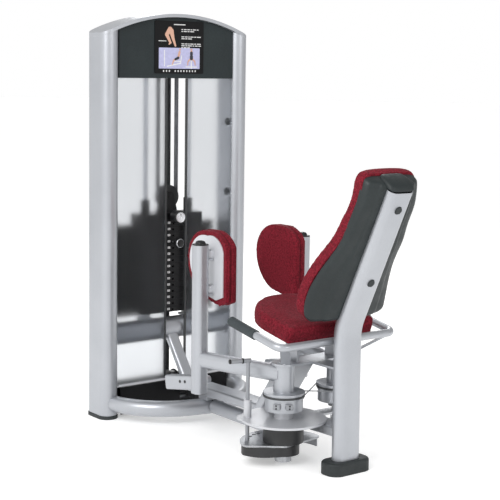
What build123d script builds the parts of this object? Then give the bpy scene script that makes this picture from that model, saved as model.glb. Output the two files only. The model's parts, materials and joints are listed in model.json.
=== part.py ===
from build123d import *

import os
from math import atan2, cos, degrees, hypot, radians, sin, tan

# Hip abductor machine. Millimetres, +Z up, origin on the floor under the centre of the
# whole machine. +X is the user's right, and +Y runs from the seat towards the weight tower.

os.makedirs("parts", exist_ok=True)

# Driving dimensions of the weight tower
TOWER_HEIGHT = 1607.0
TOWER_Y = 580.2  # front face of the header panel
ARCH_RADIUS = 790.0
CAP_THICKNESS = 13.0
COLUMN_X = 312.0  # centre of each column, left and right
COLUMN_WIDE = 76.0
COLUMN_DEEP = 146.0
COLUMN_Y = TOWER_Y + 55
INNER_X = COLUMN_X - COLUMN_WIDE / 2
SLOT_HALF = 47.0  # half of the open slot between the two front panels
HEADER_BOTTOM = 1351.0
FOOT_HEIGHT = 14.0

# Weight stack
STACK_Y = TOWER_Y + 72
PLATE_PITCH = 25.4
PLATE_WIDE = 290.0
PLATE_DEEP = 100.0
PLATES = 15
SELECTED = 4
STACK_BOTTOM = 397.0
STACK_TOP = STACK_BOTTOM + PLATES * PLATE_PITCH
PIN_Z = STACK_TOP - (SELECTED - 0.5) * PLATE_PITCH - 4
ROD_X = 105.0
ROD_RADIUS = 10.0
HEAD_PULLEY_Z = 868.0
STRAND_X = 46.0  # each side of the centre, and the radius of the pulley on the stack
STRAND_TOP = 1392.0
TOP_PULLEY_Z = 1432.0
BELT_THICK = 2.5
BELT_WIDE = 28.0

# Hubs of the two arms
HUB_X = 123.0
HUB_Y = TOWER_Y - 862
SHAFT_RADIUS = 15.0
RUNNING_GAP = 0.06
SLEEVE_RADIUS = 37.0
SLEEVE_BOTTOM = 258.0
HUB_TOP = 357.6
DRUM_RADIUS = 75.0
DRUM_BOTTOM = 196.4
DISK_RADIUS = 152.0
DISK_BOTTOM = 160.0
CAM_RADIUS = 152.0
CAM_BOTTOM = 40.0
CAM_TOP = 76.0
CAM_PLATE_TOP = 82.0

# Arms, leg pads and foot rests
POST_X = 241.0
POST_Y = TOWER_Y - 511
POST_WIDE = 55.0
POST_BOTTOM = 200.0
POST_TOP = 750.0
ARM_Z = 327.0
ARM_HIGH = 60.0
ARM_WIDE = 50.0
PAD_PIVOT_X = 201.0
PAD_INNER_X = 137.0
PAD_OUTER_X = 185.0
PAD_PLATE_X = 190.0

# Rear post, seat and backrest
REAR_POST_Y = TOWER_Y - 1055
REAR_POST_WIDE = 108.0
REAR_POST_DEEP = 56.0
POST_LEAN = 25.5
LEAN_START_Z = 509.0
LEAN_TOP_Z = 1006.0
SEAT_TILT = 10.5
SEAT_WIDE = 400.0
SEAT_DEEP = 330.0
SEAT_THICK = 62.0
SEAT_REAR_Y = TOWER_Y - 972
SEAT_REAR_Z = 453.0
HANDLE_X = 262.0
HANDLE_Y = TOWER_Y - 1008
HANDLE_Z = 455.0
HANDLE_RADIUS = 14.0
GRIP_RADIUS = 17.5

SIDES = {"left": -1, "right": 1}


def save(piece, name):
    """Labels a finished piece and writes it as its own STEP file."""
    piece.part.label = name
    export_step(piece.part, f"parts/{name}.step")


def facing_front(y):
    """A plane across the machine at y: its x is +X, its y is +Z, and it faces the seat."""
    return Plane(origin=(0, y, 0), x_dir=(1, 0, 0), z_dir=(0, -1, 0))


def facing_right(x):
    """A plane along the machine at x: its x is +Y, its y is +Z, and it faces +X."""
    return Plane(origin=(x, 0, 0), x_dir=(0, 1, 0), z_dir=(1, 0, 0))


def along(start, end, x_dir=(1, 0, 0)):
    """A plane at start that faces end."""
    return Plane(origin=start, x_dir=x_dir, z_dir=Vector(end) - Vector(start))


def distance(start, end):
    """The length of the run from start to end."""
    return (Vector(end) - Vector(start)).length


def under_arch(y, half_width, radius):
    """The outline of everything below the tower's arched top, drawn on the plane at y."""
    centre_z = TOWER_HEIGHT - ARCH_RADIUS
    rise = centre_z + (radius**2 - half_width**2) ** 0.5
    with BuildSketch(facing_front(y)) as outline:
        with BuildLine():
            crown = (0, centre_z + radius)
            ThreePointArc((-half_width, rise), crown, (half_width, rise))
            Polyline((half_width, rise), (half_width, 0), (-half_width, 0), (-half_width, rise))
        make_face()
    return outline


# ---------------------------------------------------------------- weight tower

CAP_UNDERSIDE = ARCH_RADIUS - CAP_THICKNESS

for side, sign in SIDES.items():
    with BuildPart() as column:
        with BuildSketch(Plane.XY.offset(FOOT_HEIGHT)):
            with Locations((sign * COLUMN_X, COLUMN_Y)):
                SlotOverall(COLUMN_DEEP, COLUMN_WIDE, rotation=90)
                SlotOverall(COLUMN_DEEP - 8, COLUMN_WIDE - 8, rotation=90, mode=Mode.SUBTRACT)
        extrude(amount=TOWER_HEIGHT)
        room = under_arch(TOWER_Y - 60, 360, CAP_UNDERSIDE)
        extrude(to_extrude=room.sketch, amount=-260, mode=Mode.INTERSECT)
    save(column, f"{side}_column")

with BuildPart() as column_feet:
    with BuildSketch():
        with Locations((-COLUMN_X, COLUMN_Y), (COLUMN_X, COLUMN_Y)):
            SlotOverall(COLUMN_DEEP + 6, COLUMN_WIDE + 6, rotation=90)
    extrude(amount=FOOT_HEIGHT)
    chamfer(column_feet.edges().group_by(Axis.Z)[-1], 2.5)
save(column_feet, "column_feet")

with BuildPart() as top_cap:
    with BuildSketch(Plane.XY.offset(1200)):
        with Locations((0, COLUMN_Y)):
            RectangleRounded(2 * COLUMN_X + COLUMN_WIDE, COLUMN_DEEP, COLUMN_WIDE / 2 - 0.5)
    extrude(amount=500)
    whole = under_arch(TOWER_Y - 60, 360, ARCH_RADIUS)
    extrude(to_extrude=whole.sketch, amount=-260, mode=Mode.INTERSECT)
    below = under_arch(TOWER_Y - 60, 360, CAP_UNDERSIDE)
    extrude(to_extrude=below.sketch, amount=-260, mode=Mode.SUBTRACT)
save(top_cap, "top_cap")

HEADER_DEEP = 30.0
with BuildPart() as header_panel:
    header_outline = under_arch(TOWER_Y, INNER_X, CAP_UNDERSIDE)
    extrude(to_extrude=header_outline.sketch, amount=-HEADER_DEEP)
    with BuildSketch(facing_front(TOWER_Y)):
        with Locations((0, HEADER_BOTTOM / 2)):
            Rectangle(2 * INNER_X, HEADER_BOTTOM)
    extrude(amount=-HEADER_DEEP, mode=Mode.SUBTRACT)
    hollow = under_arch(TOWER_Y + 4, INNER_X - 4, CAP_UNDERSIDE - 5)
    with BuildSketch(facing_front(TOWER_Y + 4)) as hollow_floor:
        with Locations((0, (HEADER_BOTTOM + 4) / 2)):
            Rectangle(2 * INNER_X, HEADER_BOTTOM + 4)
    pocket = hollow.sketch - hollow_floor.sketch
    extrude(to_extrude=pocket, amount=-HEADER_DEEP, mode=Mode.SUBTRACT)
save(header_panel, "header_panel")

PLACARD_WIDE = 236.0
PLACARD_HIGH = 209.0
with BuildPart() as placard:
    with BuildSketch(facing_front(TOWER_Y)):
        with Locations((7, 1370 + PLACARD_HIGH / 2)):
            RectangleRounded(PLACARD_WIDE, PLACARD_HIGH, 5)
    extrude(amount=3)
save(placard, "placard")

PANEL_BOTTOM = 121.0
for side, sign in SIDES.items():
    with BuildPart() as front_panel:
        with BuildSketch(facing_front(TOWER_Y + 3)):
            with Locations((sign * (SLOT_HALF + INNER_X + 1.5) / 2, (PANEL_BOTTOM + HEADER_BOTTOM) / 2)):
                Rectangle(INNER_X + 1.5 - SLOT_HALF, HEADER_BOTTOM - PANEL_BOTTOM)
        extrude(amount=-6)
    save(front_panel, f"{side}_front_panel")

REAR_COVER_Y = TOWER_Y + 157
with BuildPart() as rear_cover:
    with BuildSketch(Plane.XY.offset(368)):
        with Locations((0, REAR_COVER_Y - 15)):
            Rectangle(2 * INNER_X - 1, 30)
        with Locations((0, REAR_COVER_Y - 20)):
            Rectangle(2 * INNER_X - 9, 32, mode=Mode.SUBTRACT)
    extrude(amount=382)
    fillet(rear_cover.edges().filter_by(Axis.Z).group_by(Axis.Y)[-1], 3)
save(rear_cover, "rear_cover")

COVER_HALF = 262.0
COVER_BOTTOM = 8.0
COVER_TOP = 118.0
COVER_DEEP = 125.0
BELT_Z = 57.0  # centre of the belt where it runs along the floor
with BuildPart() as base_cover:
    with BuildSketch(Plane.XY.offset(COVER_BOTTOM)):
        with Locations((0, TOWER_Y + COVER_DEEP / 2)):
            Rectangle(2 * COVER_HALF, COVER_DEEP)
    extrude(amount=COVER_TOP - COVER_BOTTOM)
    fillet(base_cover.edges().group_by(Axis.Z)[-1], 5)
    with BuildSketch(Plane.XY.offset(COVER_BOTTOM)):
        with Locations((0, TOWER_Y + COVER_DEEP / 2)):
            Rectangle(2 * COVER_HALF + 8, COVER_DEEP - 8)
    extrude(amount=COVER_TOP - COVER_BOTTOM - 4, mode=Mode.SUBTRACT)
    # the belt comes in at the front and the base pulley stands through the rear
    with BuildSketch(Plane.XY.offset(32)):
        with Locations((STRAND_X, TOWER_Y)):
            Rectangle(44, 30)
    extrude(amount=50, mode=Mode.SUBTRACT)
    with BuildSketch(Plane.XY.offset(COVER_BOTTOM)):
        with Locations((STRAND_X, TOWER_Y + 100)):
            Rectangle(64, 112)
    extrude(amount=COVER_TOP, mode=Mode.SUBTRACT)
save(base_cover, "base_cover")

BASE_PULLEY_RADIUS = 38.0
BASE_PULLEY_Y = TOWER_Y + 137 - BASE_PULLEY_RADIUS
BASE_PULLEY_Z = BELT_Z + BASE_PULLEY_RADIUS
CROSSBAR_BOTTOM = 14.5
CROSSBAR_TOP = 42.0
with BuildPart() as base_crossbar:
    with BuildSketch(facing_right(-INNER_X)):
        with Locations((TOWER_Y + 65, (CROSSBAR_BOTTOM + CROSSBAR_TOP) / 2)):
            RectangleRounded(90, CROSSBAR_TOP - CROSSBAR_BOTTOM, 6)
            RectangleRounded(84, CROSSBAR_TOP - CROSSBAR_BOTTOM - 6, 3, mode=Mode.SUBTRACT)
    extrude(amount=2 * INNER_X)
    # two cheeks carry the axle of the base pulley
    for cheek_x in (STRAND_X - 24, STRAND_X + 20):
        with BuildSketch(facing_right(cheek_x)):
            with Locations((BASE_PULLEY_Y, (CROSSBAR_TOP + BASE_PULLEY_Z + 12) / 2)):
                Rectangle(30, BASE_PULLEY_Z + 12 - CROSSBAR_TOP)
        extrude(amount=4)
    with BuildSketch(facing_right(STRAND_X - 26)):
        with Locations((BASE_PULLEY_Y, BASE_PULLEY_Z)):
            Circle(6)
    extrude(amount=52)
save(base_crossbar, "base_crossbar")

BEAM_Y = TOWER_Y + 60
BEAM_Z = 325.0
BEAM_RADIUS = 45.0
with BuildPart() as stack_beam:
    with BuildSketch(facing_right(-INNER_X)):
        with Locations((BEAM_Y, BEAM_Z)):
            Circle(BEAM_RADIUS)
            Circle(BEAM_RADIUS - 3, mode=Mode.SUBTRACT)
    extrude(amount=2 * INNER_X)
    for flange_x in (-INNER_X, INNER_X - 5):
        with BuildSketch(facing_right(flange_x)):
            with Locations((BEAM_Y, BEAM_Z)):
                SlotOverall(2 * BEAM_RADIUS + 22, 2 * BEAM_RADIUS + 8, rotation=90)
                Circle(BEAM_RADIUS - 3, mode=Mode.SUBTRACT)
        extrude(amount=5)
    # seats for the guide rods, on top of the beam
    with BuildSketch(Plane.XY.offset(BEAM_Z + BEAM_RADIUS - 4)):
        with Locations((-ROD_X, STACK_Y), (ROD_X, STACK_Y)):
            Rectangle(50, 56)
    extrude(amount=8)
save(stack_beam, "stack_beam")
ROD_SEAT_Z = BEAM_Z + BEAM_RADIUS + 4

TOP_BEAM_Z = 1500.0
TOP_PULLEY_RADIUS = (TOWER_Y + 137 - STACK_Y) / 2
TOP_PULLEY_Y = STACK_Y + TOP_PULLEY_RADIUS
with BuildPart() as top_beam:
    with BuildSketch(facing_right(-INNER_X)):
        with Locations((STACK_Y, TOP_BEAM_Z)):
            RectangleRounded(70, 40, 6)
            RectangleRounded(64, 34, 3, mode=Mode.SUBTRACT)
    extrude(amount=2 * INNER_X)
    # cheeks and axle of the top pulley, on its right strand
    for cheek_x in (STRAND_X - 22, STRAND_X + 18):
        with BuildSketch(facing_right(cheek_x)):
            with Locations((TOP_PULLEY_Y, (TOP_PULLEY_Z + TOP_BEAM_Z) / 2)):
                Rectangle(36, TOP_BEAM_Z - TOP_PULLEY_Z + 24)
        extrude(amount=4)
    with BuildSketch(facing_right(STRAND_X - 24)):
        with Locations((TOP_PULLEY_Y, TOP_PULLEY_Z)):
            Circle(6)
    extrude(amount=48)
    # clamp that anchors the left strand
    with BuildSketch(Plane.XY.offset(STRAND_TOP)):
        with Locations((-STRAND_X, STACK_Y)):
            Rectangle(12, 36)
    extrude(amount=TOP_BEAM_Z - 20 - STRAND_TOP)
    # sockets for the guide rods
    with BuildSketch(Plane.XY.offset(TOP_BEAM_Z - 60)):
        with Locations((-ROD_X, STACK_Y), (ROD_X, STACK_Y)):
            Circle(ROD_RADIUS + 6)
    extrude(amount=40)
save(top_beam, "top_beam")

with BuildPart() as guide_rods:
    with BuildSketch(Plane.XY.offset(ROD_SEAT_Z)):
        with Locations((-ROD_X, STACK_Y), (ROD_X, STACK_Y)):
            Circle(ROD_RADIUS)
    extrude(amount=TOP_BEAM_Z - 60 - ROD_SEAT_Z)
save(guide_rods, "guide_rods")

with BuildPart() as stack_bumpers:
    with BuildSketch(Plane.XY.offset(ROD_SEAT_Z)):
        with Locations((-ROD_X, STACK_Y), (ROD_X, STACK_Y)):
            Circle(23)
            Circle(ROD_RADIUS + 0.5, mode=Mode.SUBTRACT)
    extrude(amount=STACK_BOTTOM - ROD_SEAT_Z)
    fillet(stack_bumpers.edges().filter_by(GeomType.CIRCLE).sort_by(SortBy.RADIUS)[-4:], 3)
save(stack_bumpers, "stack_bumpers")


def weight_plates(lowest, count):
    """A run of weight plates from the one with index lowest, counted from the bottom."""
    with BuildPart() as plates:
        for index in range(lowest, lowest + count):
            with BuildSketch(Plane.XY.offset(STACK_BOTTOM + index * PLATE_PITCH)):
                with Locations((0, STACK_Y)):
                    RectangleRounded(PLATE_WIDE, PLATE_DEEP, 6)
                    Circle(12.5, mode=Mode.SUBTRACT)
                with Locations((-ROD_X, STACK_Y), (ROD_X, STACK_Y)):
                    Circle(ROD_RADIUS + 1.5, mode=Mode.SUBTRACT)
            extrude(amount=PLATE_PITCH - 0.6)
            # the hole for the selector pin, from the front face
            with BuildSketch(facing_front(STACK_Y - PLATE_DEEP / 2)):
                with Locations((0, STACK_BOTTOM + (index + 0.5) * PLATE_PITCH - 4)):
                    Circle(5)
            extrude(amount=-PLATE_DEEP / 2, mode=Mode.SUBTRACT)
    return plates


save(weight_plates(0, PLATES - SELECTED), "resting_plates")
save(weight_plates(PLATES - SELECTED, SELECTED), "selected_plates")

HEAD_HIGH = 24.0
FORK_THICK = 5.0
with BuildPart() as stack_head:
    with BuildSketch(Plane.XY.offset(STACK_TOP)):
        with Locations((0, STACK_Y)):
            RectangleRounded(PLATE_WIDE, PLATE_DEEP, 6)
        with Locations((-ROD_X, STACK_Y), (ROD_X, STACK_Y)):
            Circle(ROD_RADIUS + 0.5, mode=Mode.SUBTRACT)
    extrude(amount=HEAD_HIGH)
    # tall bushings ride on the guide rods
    with BuildSketch(Plane.XY.offset(STACK_TOP + HEAD_HIGH)):
        with Locations((-ROD_X, STACK_Y), (ROD_X, STACK_Y)):
            Circle(18)
            Circle(ROD_RADIUS + 0.5, mode=Mode.SUBTRACT)
    extrude(amount=56)
    # fork plates each side of the pulley, and the pulley's axle
    for fork_y in (STACK_Y - 24, STACK_Y + 24 - FORK_THICK):
        with BuildSketch(facing_front(fork_y)):
            with BuildLine():
                Polyline((-38, STACK_TOP + HEAD_HIGH), (38, STACK_TOP + HEAD_HIGH), (22, HEAD_PULLEY_Z))
                ThreePointArc((22, HEAD_PULLEY_Z), (0, HEAD_PULLEY_Z + 22), (-22, HEAD_PULLEY_Z))
                Line((-22, HEAD_PULLEY_Z), (-38, STACK_TOP + HEAD_HIGH))
            make_face()
        extrude(amount=-FORK_THICK)
    with BuildSketch(facing_front(STACK_Y - 26)):
        with Locations((0, HEAD_PULLEY_Z)):
            Circle(7)
    extrude(amount=-52)
    # boss that carries the increment dial
    with BuildSketch(facing_front(STACK_Y - PLATE_DEEP / 2)):
        with Locations((0, STACK_TOP + 13)):
            Circle(9)
    extrude(amount=38)
save(stack_head, "stack_head")

with BuildPart() as selector_rod:
    with BuildSketch(Plane.XY.offset(STACK_TOP - (PLATES - 0.4) * PLATE_PITCH)):
        with Locations((0, STACK_Y)):
            Circle(11)
    extrude(amount=(PLATES - 0.4) * PLATE_PITCH)
    with BuildSketch(facing_front(STACK_Y - 20)):
        with Locations(*[(0, STACK_BOTTOM + (i + 0.5) * PLATE_PITCH - 4) for i in range(1, PLATES)]):
            Circle(5)
    extrude(amount=-40, mode=Mode.SUBTRACT)
save(selector_rod, "selector_rod")

PIN_FRONT = STACK_Y - PLATE_DEEP / 2
with BuildPart() as selector_pin:
    with BuildSketch(facing_front(STACK_Y + 9)):
        with Locations((0, PIN_Z)):
            Circle(4.5)
    extrude(amount=STACK_Y + 9 - (PIN_FRONT - 34))
    with BuildSketch(facing_front(PIN_FRONT - 16)):
        with Locations((0, PIN_Z)):
            Circle(9)
    extrude(amount=14)
    with BuildSketch(facing_front(PIN_FRONT - 30)):
        with Locations((0, PIN_Z)):
            Circle(19)
    extrude(amount=24)
    fillet(selector_pin.edges().filter_by(GeomType.CIRCLE).sort_by(SortBy.RADIUS)[-2:], 6)
save(selector_pin, "selector_pin")

DIAL_Z = STACK_TOP + 13
with BuildPart() as increment_dial:
    with BuildSketch(facing_front(PIN_FRONT - 12)):
        with Locations((0, DIAL_Z)):
            Circle(27)
    extrude(amount=42)
    fillet(increment_dial.edges().filter_by(GeomType.CIRCLE), 4)
    with BuildSketch(facing_front(PIN_FRONT - 12)):
        with Locations((0, DIAL_Z)):
            Circle(9 + RUNNING_GAP)
    extrude(amount=27, mode=Mode.SUBTRACT)
save(increment_dial, "increment_dial")


def pulley(plane, centre, radius, width, bore):
    """A flat belt pulley with two rims, drawn on plane about centre."""
    with BuildPart() as wheel:
        with BuildSketch(plane):
            with Locations(centre):
                Circle(radius - BELT_THICK - 0.5)
                Circle(bore, mode=Mode.SUBTRACT)
        extrude(amount=width / 2, both=True)
        for rim_from in (-width / 2, width / 2 - 2):
            with BuildSketch(plane.offset(rim_from)):
                with Locations(centre):
                    Circle(radius - BELT_THICK + 4)
                    Circle(bore, mode=Mode.SUBTRACT)
            extrude(amount=2)
    return wheel


PULLEY_WIDE = 34.0
head_plane = facing_front(STACK_Y)
save(pulley(head_plane, (0, HEAD_PULLEY_Z), STRAND_X, PULLEY_WIDE, 7 + RUNNING_GAP), "stack_pulley")
side_plane = facing_right(STRAND_X)
top_centre = (TOP_PULLEY_Y, TOP_PULLEY_Z)
save(pulley(side_plane, top_centre, TOP_PULLEY_RADIUS, PULLEY_WIDE, 6 + RUNNING_GAP), "top_pulley")
base_centre = (BASE_PULLEY_Y, BASE_PULLEY_Z)
save(pulley(side_plane, base_centre, BASE_PULLEY_RADIUS, PULLEY_WIDE, 6 + RUNNING_GAP), "base_pulley")

# The belt's two strands shorten as the stack rises. Their top ends stay where they are.
with BuildPart() as lift_strands:
    with BuildSketch(Plane.XY.offset(HEAD_PULLEY_Z)):
        with Locations((-STRAND_X + BELT_THICK / 2, STACK_Y), (STRAND_X - BELT_THICK / 2, STACK_Y)):
            Rectangle(BELT_THICK, BELT_WIDE)
    extrude(amount=STRAND_TOP - HEAD_PULLEY_Z)
save(lift_strands, "lift_strands")

# The rest of the belt: down behind the stack, round the base pulley and out to the cam.
RETURN_Y = TOWER_Y + 137
CAM_SIDE_X = 32.0
with BuildPart() as drive_belt:
    with BuildSketch(Plane.XY.offset(BASE_PULLEY_Z)):
        with Locations((STRAND_X, RETURN_Y - BELT_THICK / 2)):
            Rectangle(BELT_WIDE, BELT_THICK)
    extrude(amount=TOP_PULLEY_Z - BASE_PULLEY_Z)
    # above the right strand it makes a quarter twist, then goes over the top pulley
    with BuildSketch(Plane.XY.offset(STRAND_TOP)):
        with Locations((STRAND_X, STACK_Y + BELT_THICK / 2)):
            Rectangle(BELT_WIDE, BELT_THICK)
    extrude(amount=TOP_PULLEY_Z - STRAND_TOP)
    wraps = ((base_centre, BASE_PULLEY_RADIUS, -90, 90), (top_centre, TOP_PULLEY_RADIUS, 0, 180))
    for centre, outer, first, turn in wraps:
        with BuildSketch(facing_right(STRAND_X - BELT_WIDE / 2)):
            with BuildLine():
                outside = CenterArc(centre, outer, first, turn)
                inside = CenterArc(centre, outer - BELT_THICK, first, turn)
                Line(outside @ 0, inside @ 0)
                Line(outside @ 1, inside @ 1)
            make_face()
        extrude(amount=BELT_WIDE)
    # from the base pulley the belt makes a quarter twist, so that it lies on edge at the cam
    flat = Plane(origin=(STRAND_X, BASE_PULLEY_Y, BELT_Z + BELT_THICK / 2), x_dir=(1, 0, 0), z_dir=(0, -1, 0))
    with BuildSketch(flat):
        Rectangle(BELT_WIDE, BELT_THICK)
    extrude(amount=BASE_PULLEY_Y - (TOWER_Y - 20))
    edge_start = (STRAND_X - 1, TOWER_Y - 20, BELT_Z)
    edge_end = (CAM_SIDE_X + BELT_THICK / 2 + 1, HUB_Y + 10, BELT_Z)
    with BuildSketch(along(edge_start, edge_end)):
        Rectangle(BELT_THICK, BELT_WIDE)
    extrude(amount=distance(edge_start, edge_end))
save(drive_belt, "drive_belt")

# ---------------------------------------------------------------- floor frame

BOW_Z = 60.0
BOW_JOINT_Y = TOWER_Y - 246
for side, sign in SIDES.items():
    with BuildPart() as front_tube:
        with BuildLine():
            bow = ThreePointArc(
                (sign * 300, TOWER_Y + 14, BOW_Z),
                (sign * 205, TOWER_Y - 168, BOW_Z),
                (sign * 62, BOW_JOINT_Y + 13, BOW_Z),
            )
            Line(bow @ 1, (0, BOW_JOINT_Y, BOW_Z))
        with BuildSketch(Plane(origin=bow @ 0, x_dir=(1, 0, 0), z_dir=bow % 0)):
            RectangleRounded(66, 60, 26)
            RectangleRounded(58, 52, 22, mode=Mode.SUBTRACT)
        sweep(transition=Transition.RIGHT)
        # the column stands in front of the tube's end
        with BuildSketch(Plane.XY):
            with Locations((sign * COLUMN_X, COLUMN_Y)):
                SlotOverall(COLUMN_DEEP, COLUMN_WIDE, rotation=90)
        extrude(amount=200, mode=Mode.SUBTRACT)
        with BuildSketch(facing_right(0)):
            with Locations((BOW_JOINT_Y, BOW_Z)):
                Rectangle(300, 300)
        extrude(amount=-sign * 120, mode=Mode.SUBTRACT)
        # slot that the belt runs through
        with BuildSketch(Plane.XY.offset(BELT_Z - 19)):
            with Locations((STRAND_X - 4, BOW_JOINT_Y)):
                RectangleRounded(22, 170, 3)
        extrude(amount=38, mode=Mode.SUBTRACT)
    save(front_tube, f"{side}_front_tube")

# the spine rises a little towards the rear post
SPINE_WIDE = 88.0
SPINE_HIGH = 34.0
SPINE_START_Y = TOWER_Y - 8
SPINE_END_Y = REAR_POST_Y + REAR_POST_DEEP / 2 - 6
spine_start = (0, SPINE_START_Y, 121.0)
spine_end = (0, SPINE_END_Y, 139.0)
with BuildPart() as spine_beam:
    with BuildSketch(along(spine_start, spine_end)):
        RectangleRounded(SPINE_WIDE, SPINE_HIGH, 8)
        RectangleRounded(SPINE_WIDE - 6, SPINE_HIGH - 6, 5, mode=Mode.SUBTRACT)
    extrude(amount=distance(spine_start, spine_end))
    # coped to the post
    with BuildSketch():
        with Locations((0, REAR_POST_Y)):
            SlotOverall(REAR_POST_WIDE, REAR_POST_DEEP)
    extrude(amount=300, mode=Mode.SUBTRACT)
    # packer between the spine and the joint of the front tubes
    with BuildSketch(Plane.XY.offset(BOW_Z + 30)):
        with Locations((0, BOW_JOINT_Y)):
            Rectangle(70, 56)
    extrude(amount=20)
save(spine_beam, "spine_beam")

KEEL_RADIUS = 27.5
KEEL_Z = 62.0
KEEL_START_Y = BOW_JOINT_Y - 34
KEEL_END_Y = TOWER_Y - 700
with BuildPart() as keel_tube:
    with BuildSketch(facing_front(KEEL_START_Y)):
        with Locations((0, KEEL_Z)):
            Circle(KEEL_RADIUS)
            Circle(KEEL_RADIUS - 3, mode=Mode.SUBTRACT)
    extrude(amount=KEEL_START_Y - KEEL_END_Y)
save(keel_tube, "keel_tube")

SPINE_TOP = 140.0  # level with the spine's top where the braces land on it
brace_low = (0, TOWER_Y - 106, SPINE_TOP - 20)
brace_high = (0, BEAM_Y - 12, BEAM_Z - 5)
with BuildPart() as brace_strut:
    with BuildSketch(along(brace_low, brace_high)):
        RectangleRounded(52, 30, 12)
        RectangleRounded(46, 24, 9, mode=Mode.SUBTRACT)
    extrude(amount=distance(brace_low, brace_high))
    with BuildSketch(facing_right(-40)):
        with Locations((BEAM_Y, BEAM_Z)):
            Circle(BEAM_RADIUS)
        with Locations((TOWER_Y - 100, SPINE_TOP - 40)):
            Rectangle(160, 80)
    extrude(amount=80, mode=Mode.SUBTRACT)
save(brace_strut, "brace_strut")

# the axis of the rear post, from the floor plate to its leaning top
LEAN_RUN = (LEAN_TOP_Z - LEAN_START_Z) * tan(radians(POST_LEAN))
POST_TOP_Y = REAR_POST_Y - LEAN_RUN
BOOT_HIGH = 45.0
with BuildPart() as rear_post:
    with BuildLine():
        FilletPolyline(
            (0, REAR_POST_Y, 10),
            (0, REAR_POST_Y, LEAN_START_Z),
            (0, POST_TOP_Y, LEAN_TOP_Z),
            radius=160,
        )
    with BuildSketch(Plane.XY.offset(10)):
        with Locations((0, REAR_POST_Y)):
            SlotOverall(REAR_POST_WIDE, REAR_POST_DEEP)
            SlotOverall(REAR_POST_WIDE - 7, REAR_POST_DEEP - 7, mode=Mode.SUBTRACT)
    sweep()
save(rear_post, "rear_post")

with BuildPart() as rear_boot:
    with BuildSketch():
        with Locations((0, REAR_POST_Y)):
            RectangleRounded(182, 95, 40)
    extrude(amount=BOOT_HIGH)
    fillet(rear_boot.edges().group_by(Axis.Z)[-1], 10)
    with BuildSketch(Plane.XY.offset(10)):
        with Locations((0, REAR_POST_Y)):
            SlotOverall(REAR_POST_WIDE, REAR_POST_DEEP)
    extrude(amount=BOOT_HIGH, mode=Mode.SUBTRACT)
save(rear_boot, "rear_boot")


def lean_point(height, behind):
    """A point at height on the leaning axis, moved out through the post's rear face."""
    lean = radians(POST_LEAN)
    y = REAR_POST_Y - (height - LEAN_START_Z) * tan(lean)
    return (0, y - behind * cos(lean), height - behind * sin(lean))


CAP_HEIGHTS = (948.0, 690.0)
COLUMN_CAP_HEIGHTS = (1172.0, 880.0, 588.0)
with BuildPart() as bolt_caps:
    for cap_height in CAP_HEIGHTS:
        rear_face = along(lean_point(cap_height, REAR_POST_DEEP / 2), lean_point(cap_height, 60))
        with BuildSketch(rear_face):
            Circle(15)
        extrude(amount=5, taper=30)
    for sign in SIDES.values():
        column_face = Plane(origin=(sign * INNER_X, 0, 0), x_dir=(0, 1, 0), z_dir=(-sign, 0, 0))
        for cap_height in COLUMN_CAP_HEIGHTS:
            spot = (sign * INNER_X, TOWER_Y + 29, cap_height)
            with BuildSketch(Plane(origin=spot, x_dir=(0, 1, 0), z_dir=column_face.z_dir)):
                Circle(16)
            extrude(amount=5, taper=30)
save(bolt_caps, "bolt_caps")

# ---------------------------------------------------------------- hubs

TOP_PLATE_Z = 358.0
TOP_PLATE_THICK = 8.0
with BuildPart() as hub_top_plate:
    with BuildSketch(Plane.XY.offset(TOP_PLATE_Z)):
        with Locations((0, HUB_Y)):
            SlotOverall(2 * HUB_X + 92, 92)
        with Locations((0, (HUB_Y + SPINE_END_Y) / 2)):
            Rectangle(70, HUB_Y - SPINE_END_Y)
        with Locations((-HUB_X, HUB_Y), (HUB_X, HUB_Y)):
            Circle(SHAFT_RADIUS, mode=Mode.SUBTRACT)
        with Locations((0, REAR_POST_Y)):
            SlotOverall(REAR_POST_WIDE, REAR_POST_DEEP, mode=Mode.SUBTRACT)
    extrude(amount=TOP_PLATE_THICK)
save(hub_top_plate, "hub_top_plate")

support_low = (0, TOWER_Y - 618, SPINE_TOP - 30)
support_high = (0, TOWER_Y - 806, TOP_PLATE_Z + 10)
with BuildPart() as hub_support:
    with BuildSketch(along(support_low, support_high)):
        RectangleRounded(146, 34, 8)
        RectangleRounded(138, 26, 5, mode=Mode.SUBTRACT)
    extrude(amount=distance(support_low, support_high))
    # cut level under the plate above
    with BuildSketch(facing_right(-100)):
        with Locations((TOWER_Y - 700, SPINE_TOP / 2)):
            Rectangle(600, SPINE_TOP)
        with Locations((TOWER_Y - 700, TOP_PLATE_Z + 40)):
            Rectangle(600, 80)
    extrude(amount=200, mode=Mode.SUBTRACT)
    # coped to the spine's rise
    with BuildSketch(along(spine_start, spine_end)):
        Rectangle(SPINE_WIDE, SPINE_HIGH)
    extrude(amount=distance(spine_start, spine_end), mode=Mode.SUBTRACT)
save(hub_support, "hub_support")

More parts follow.
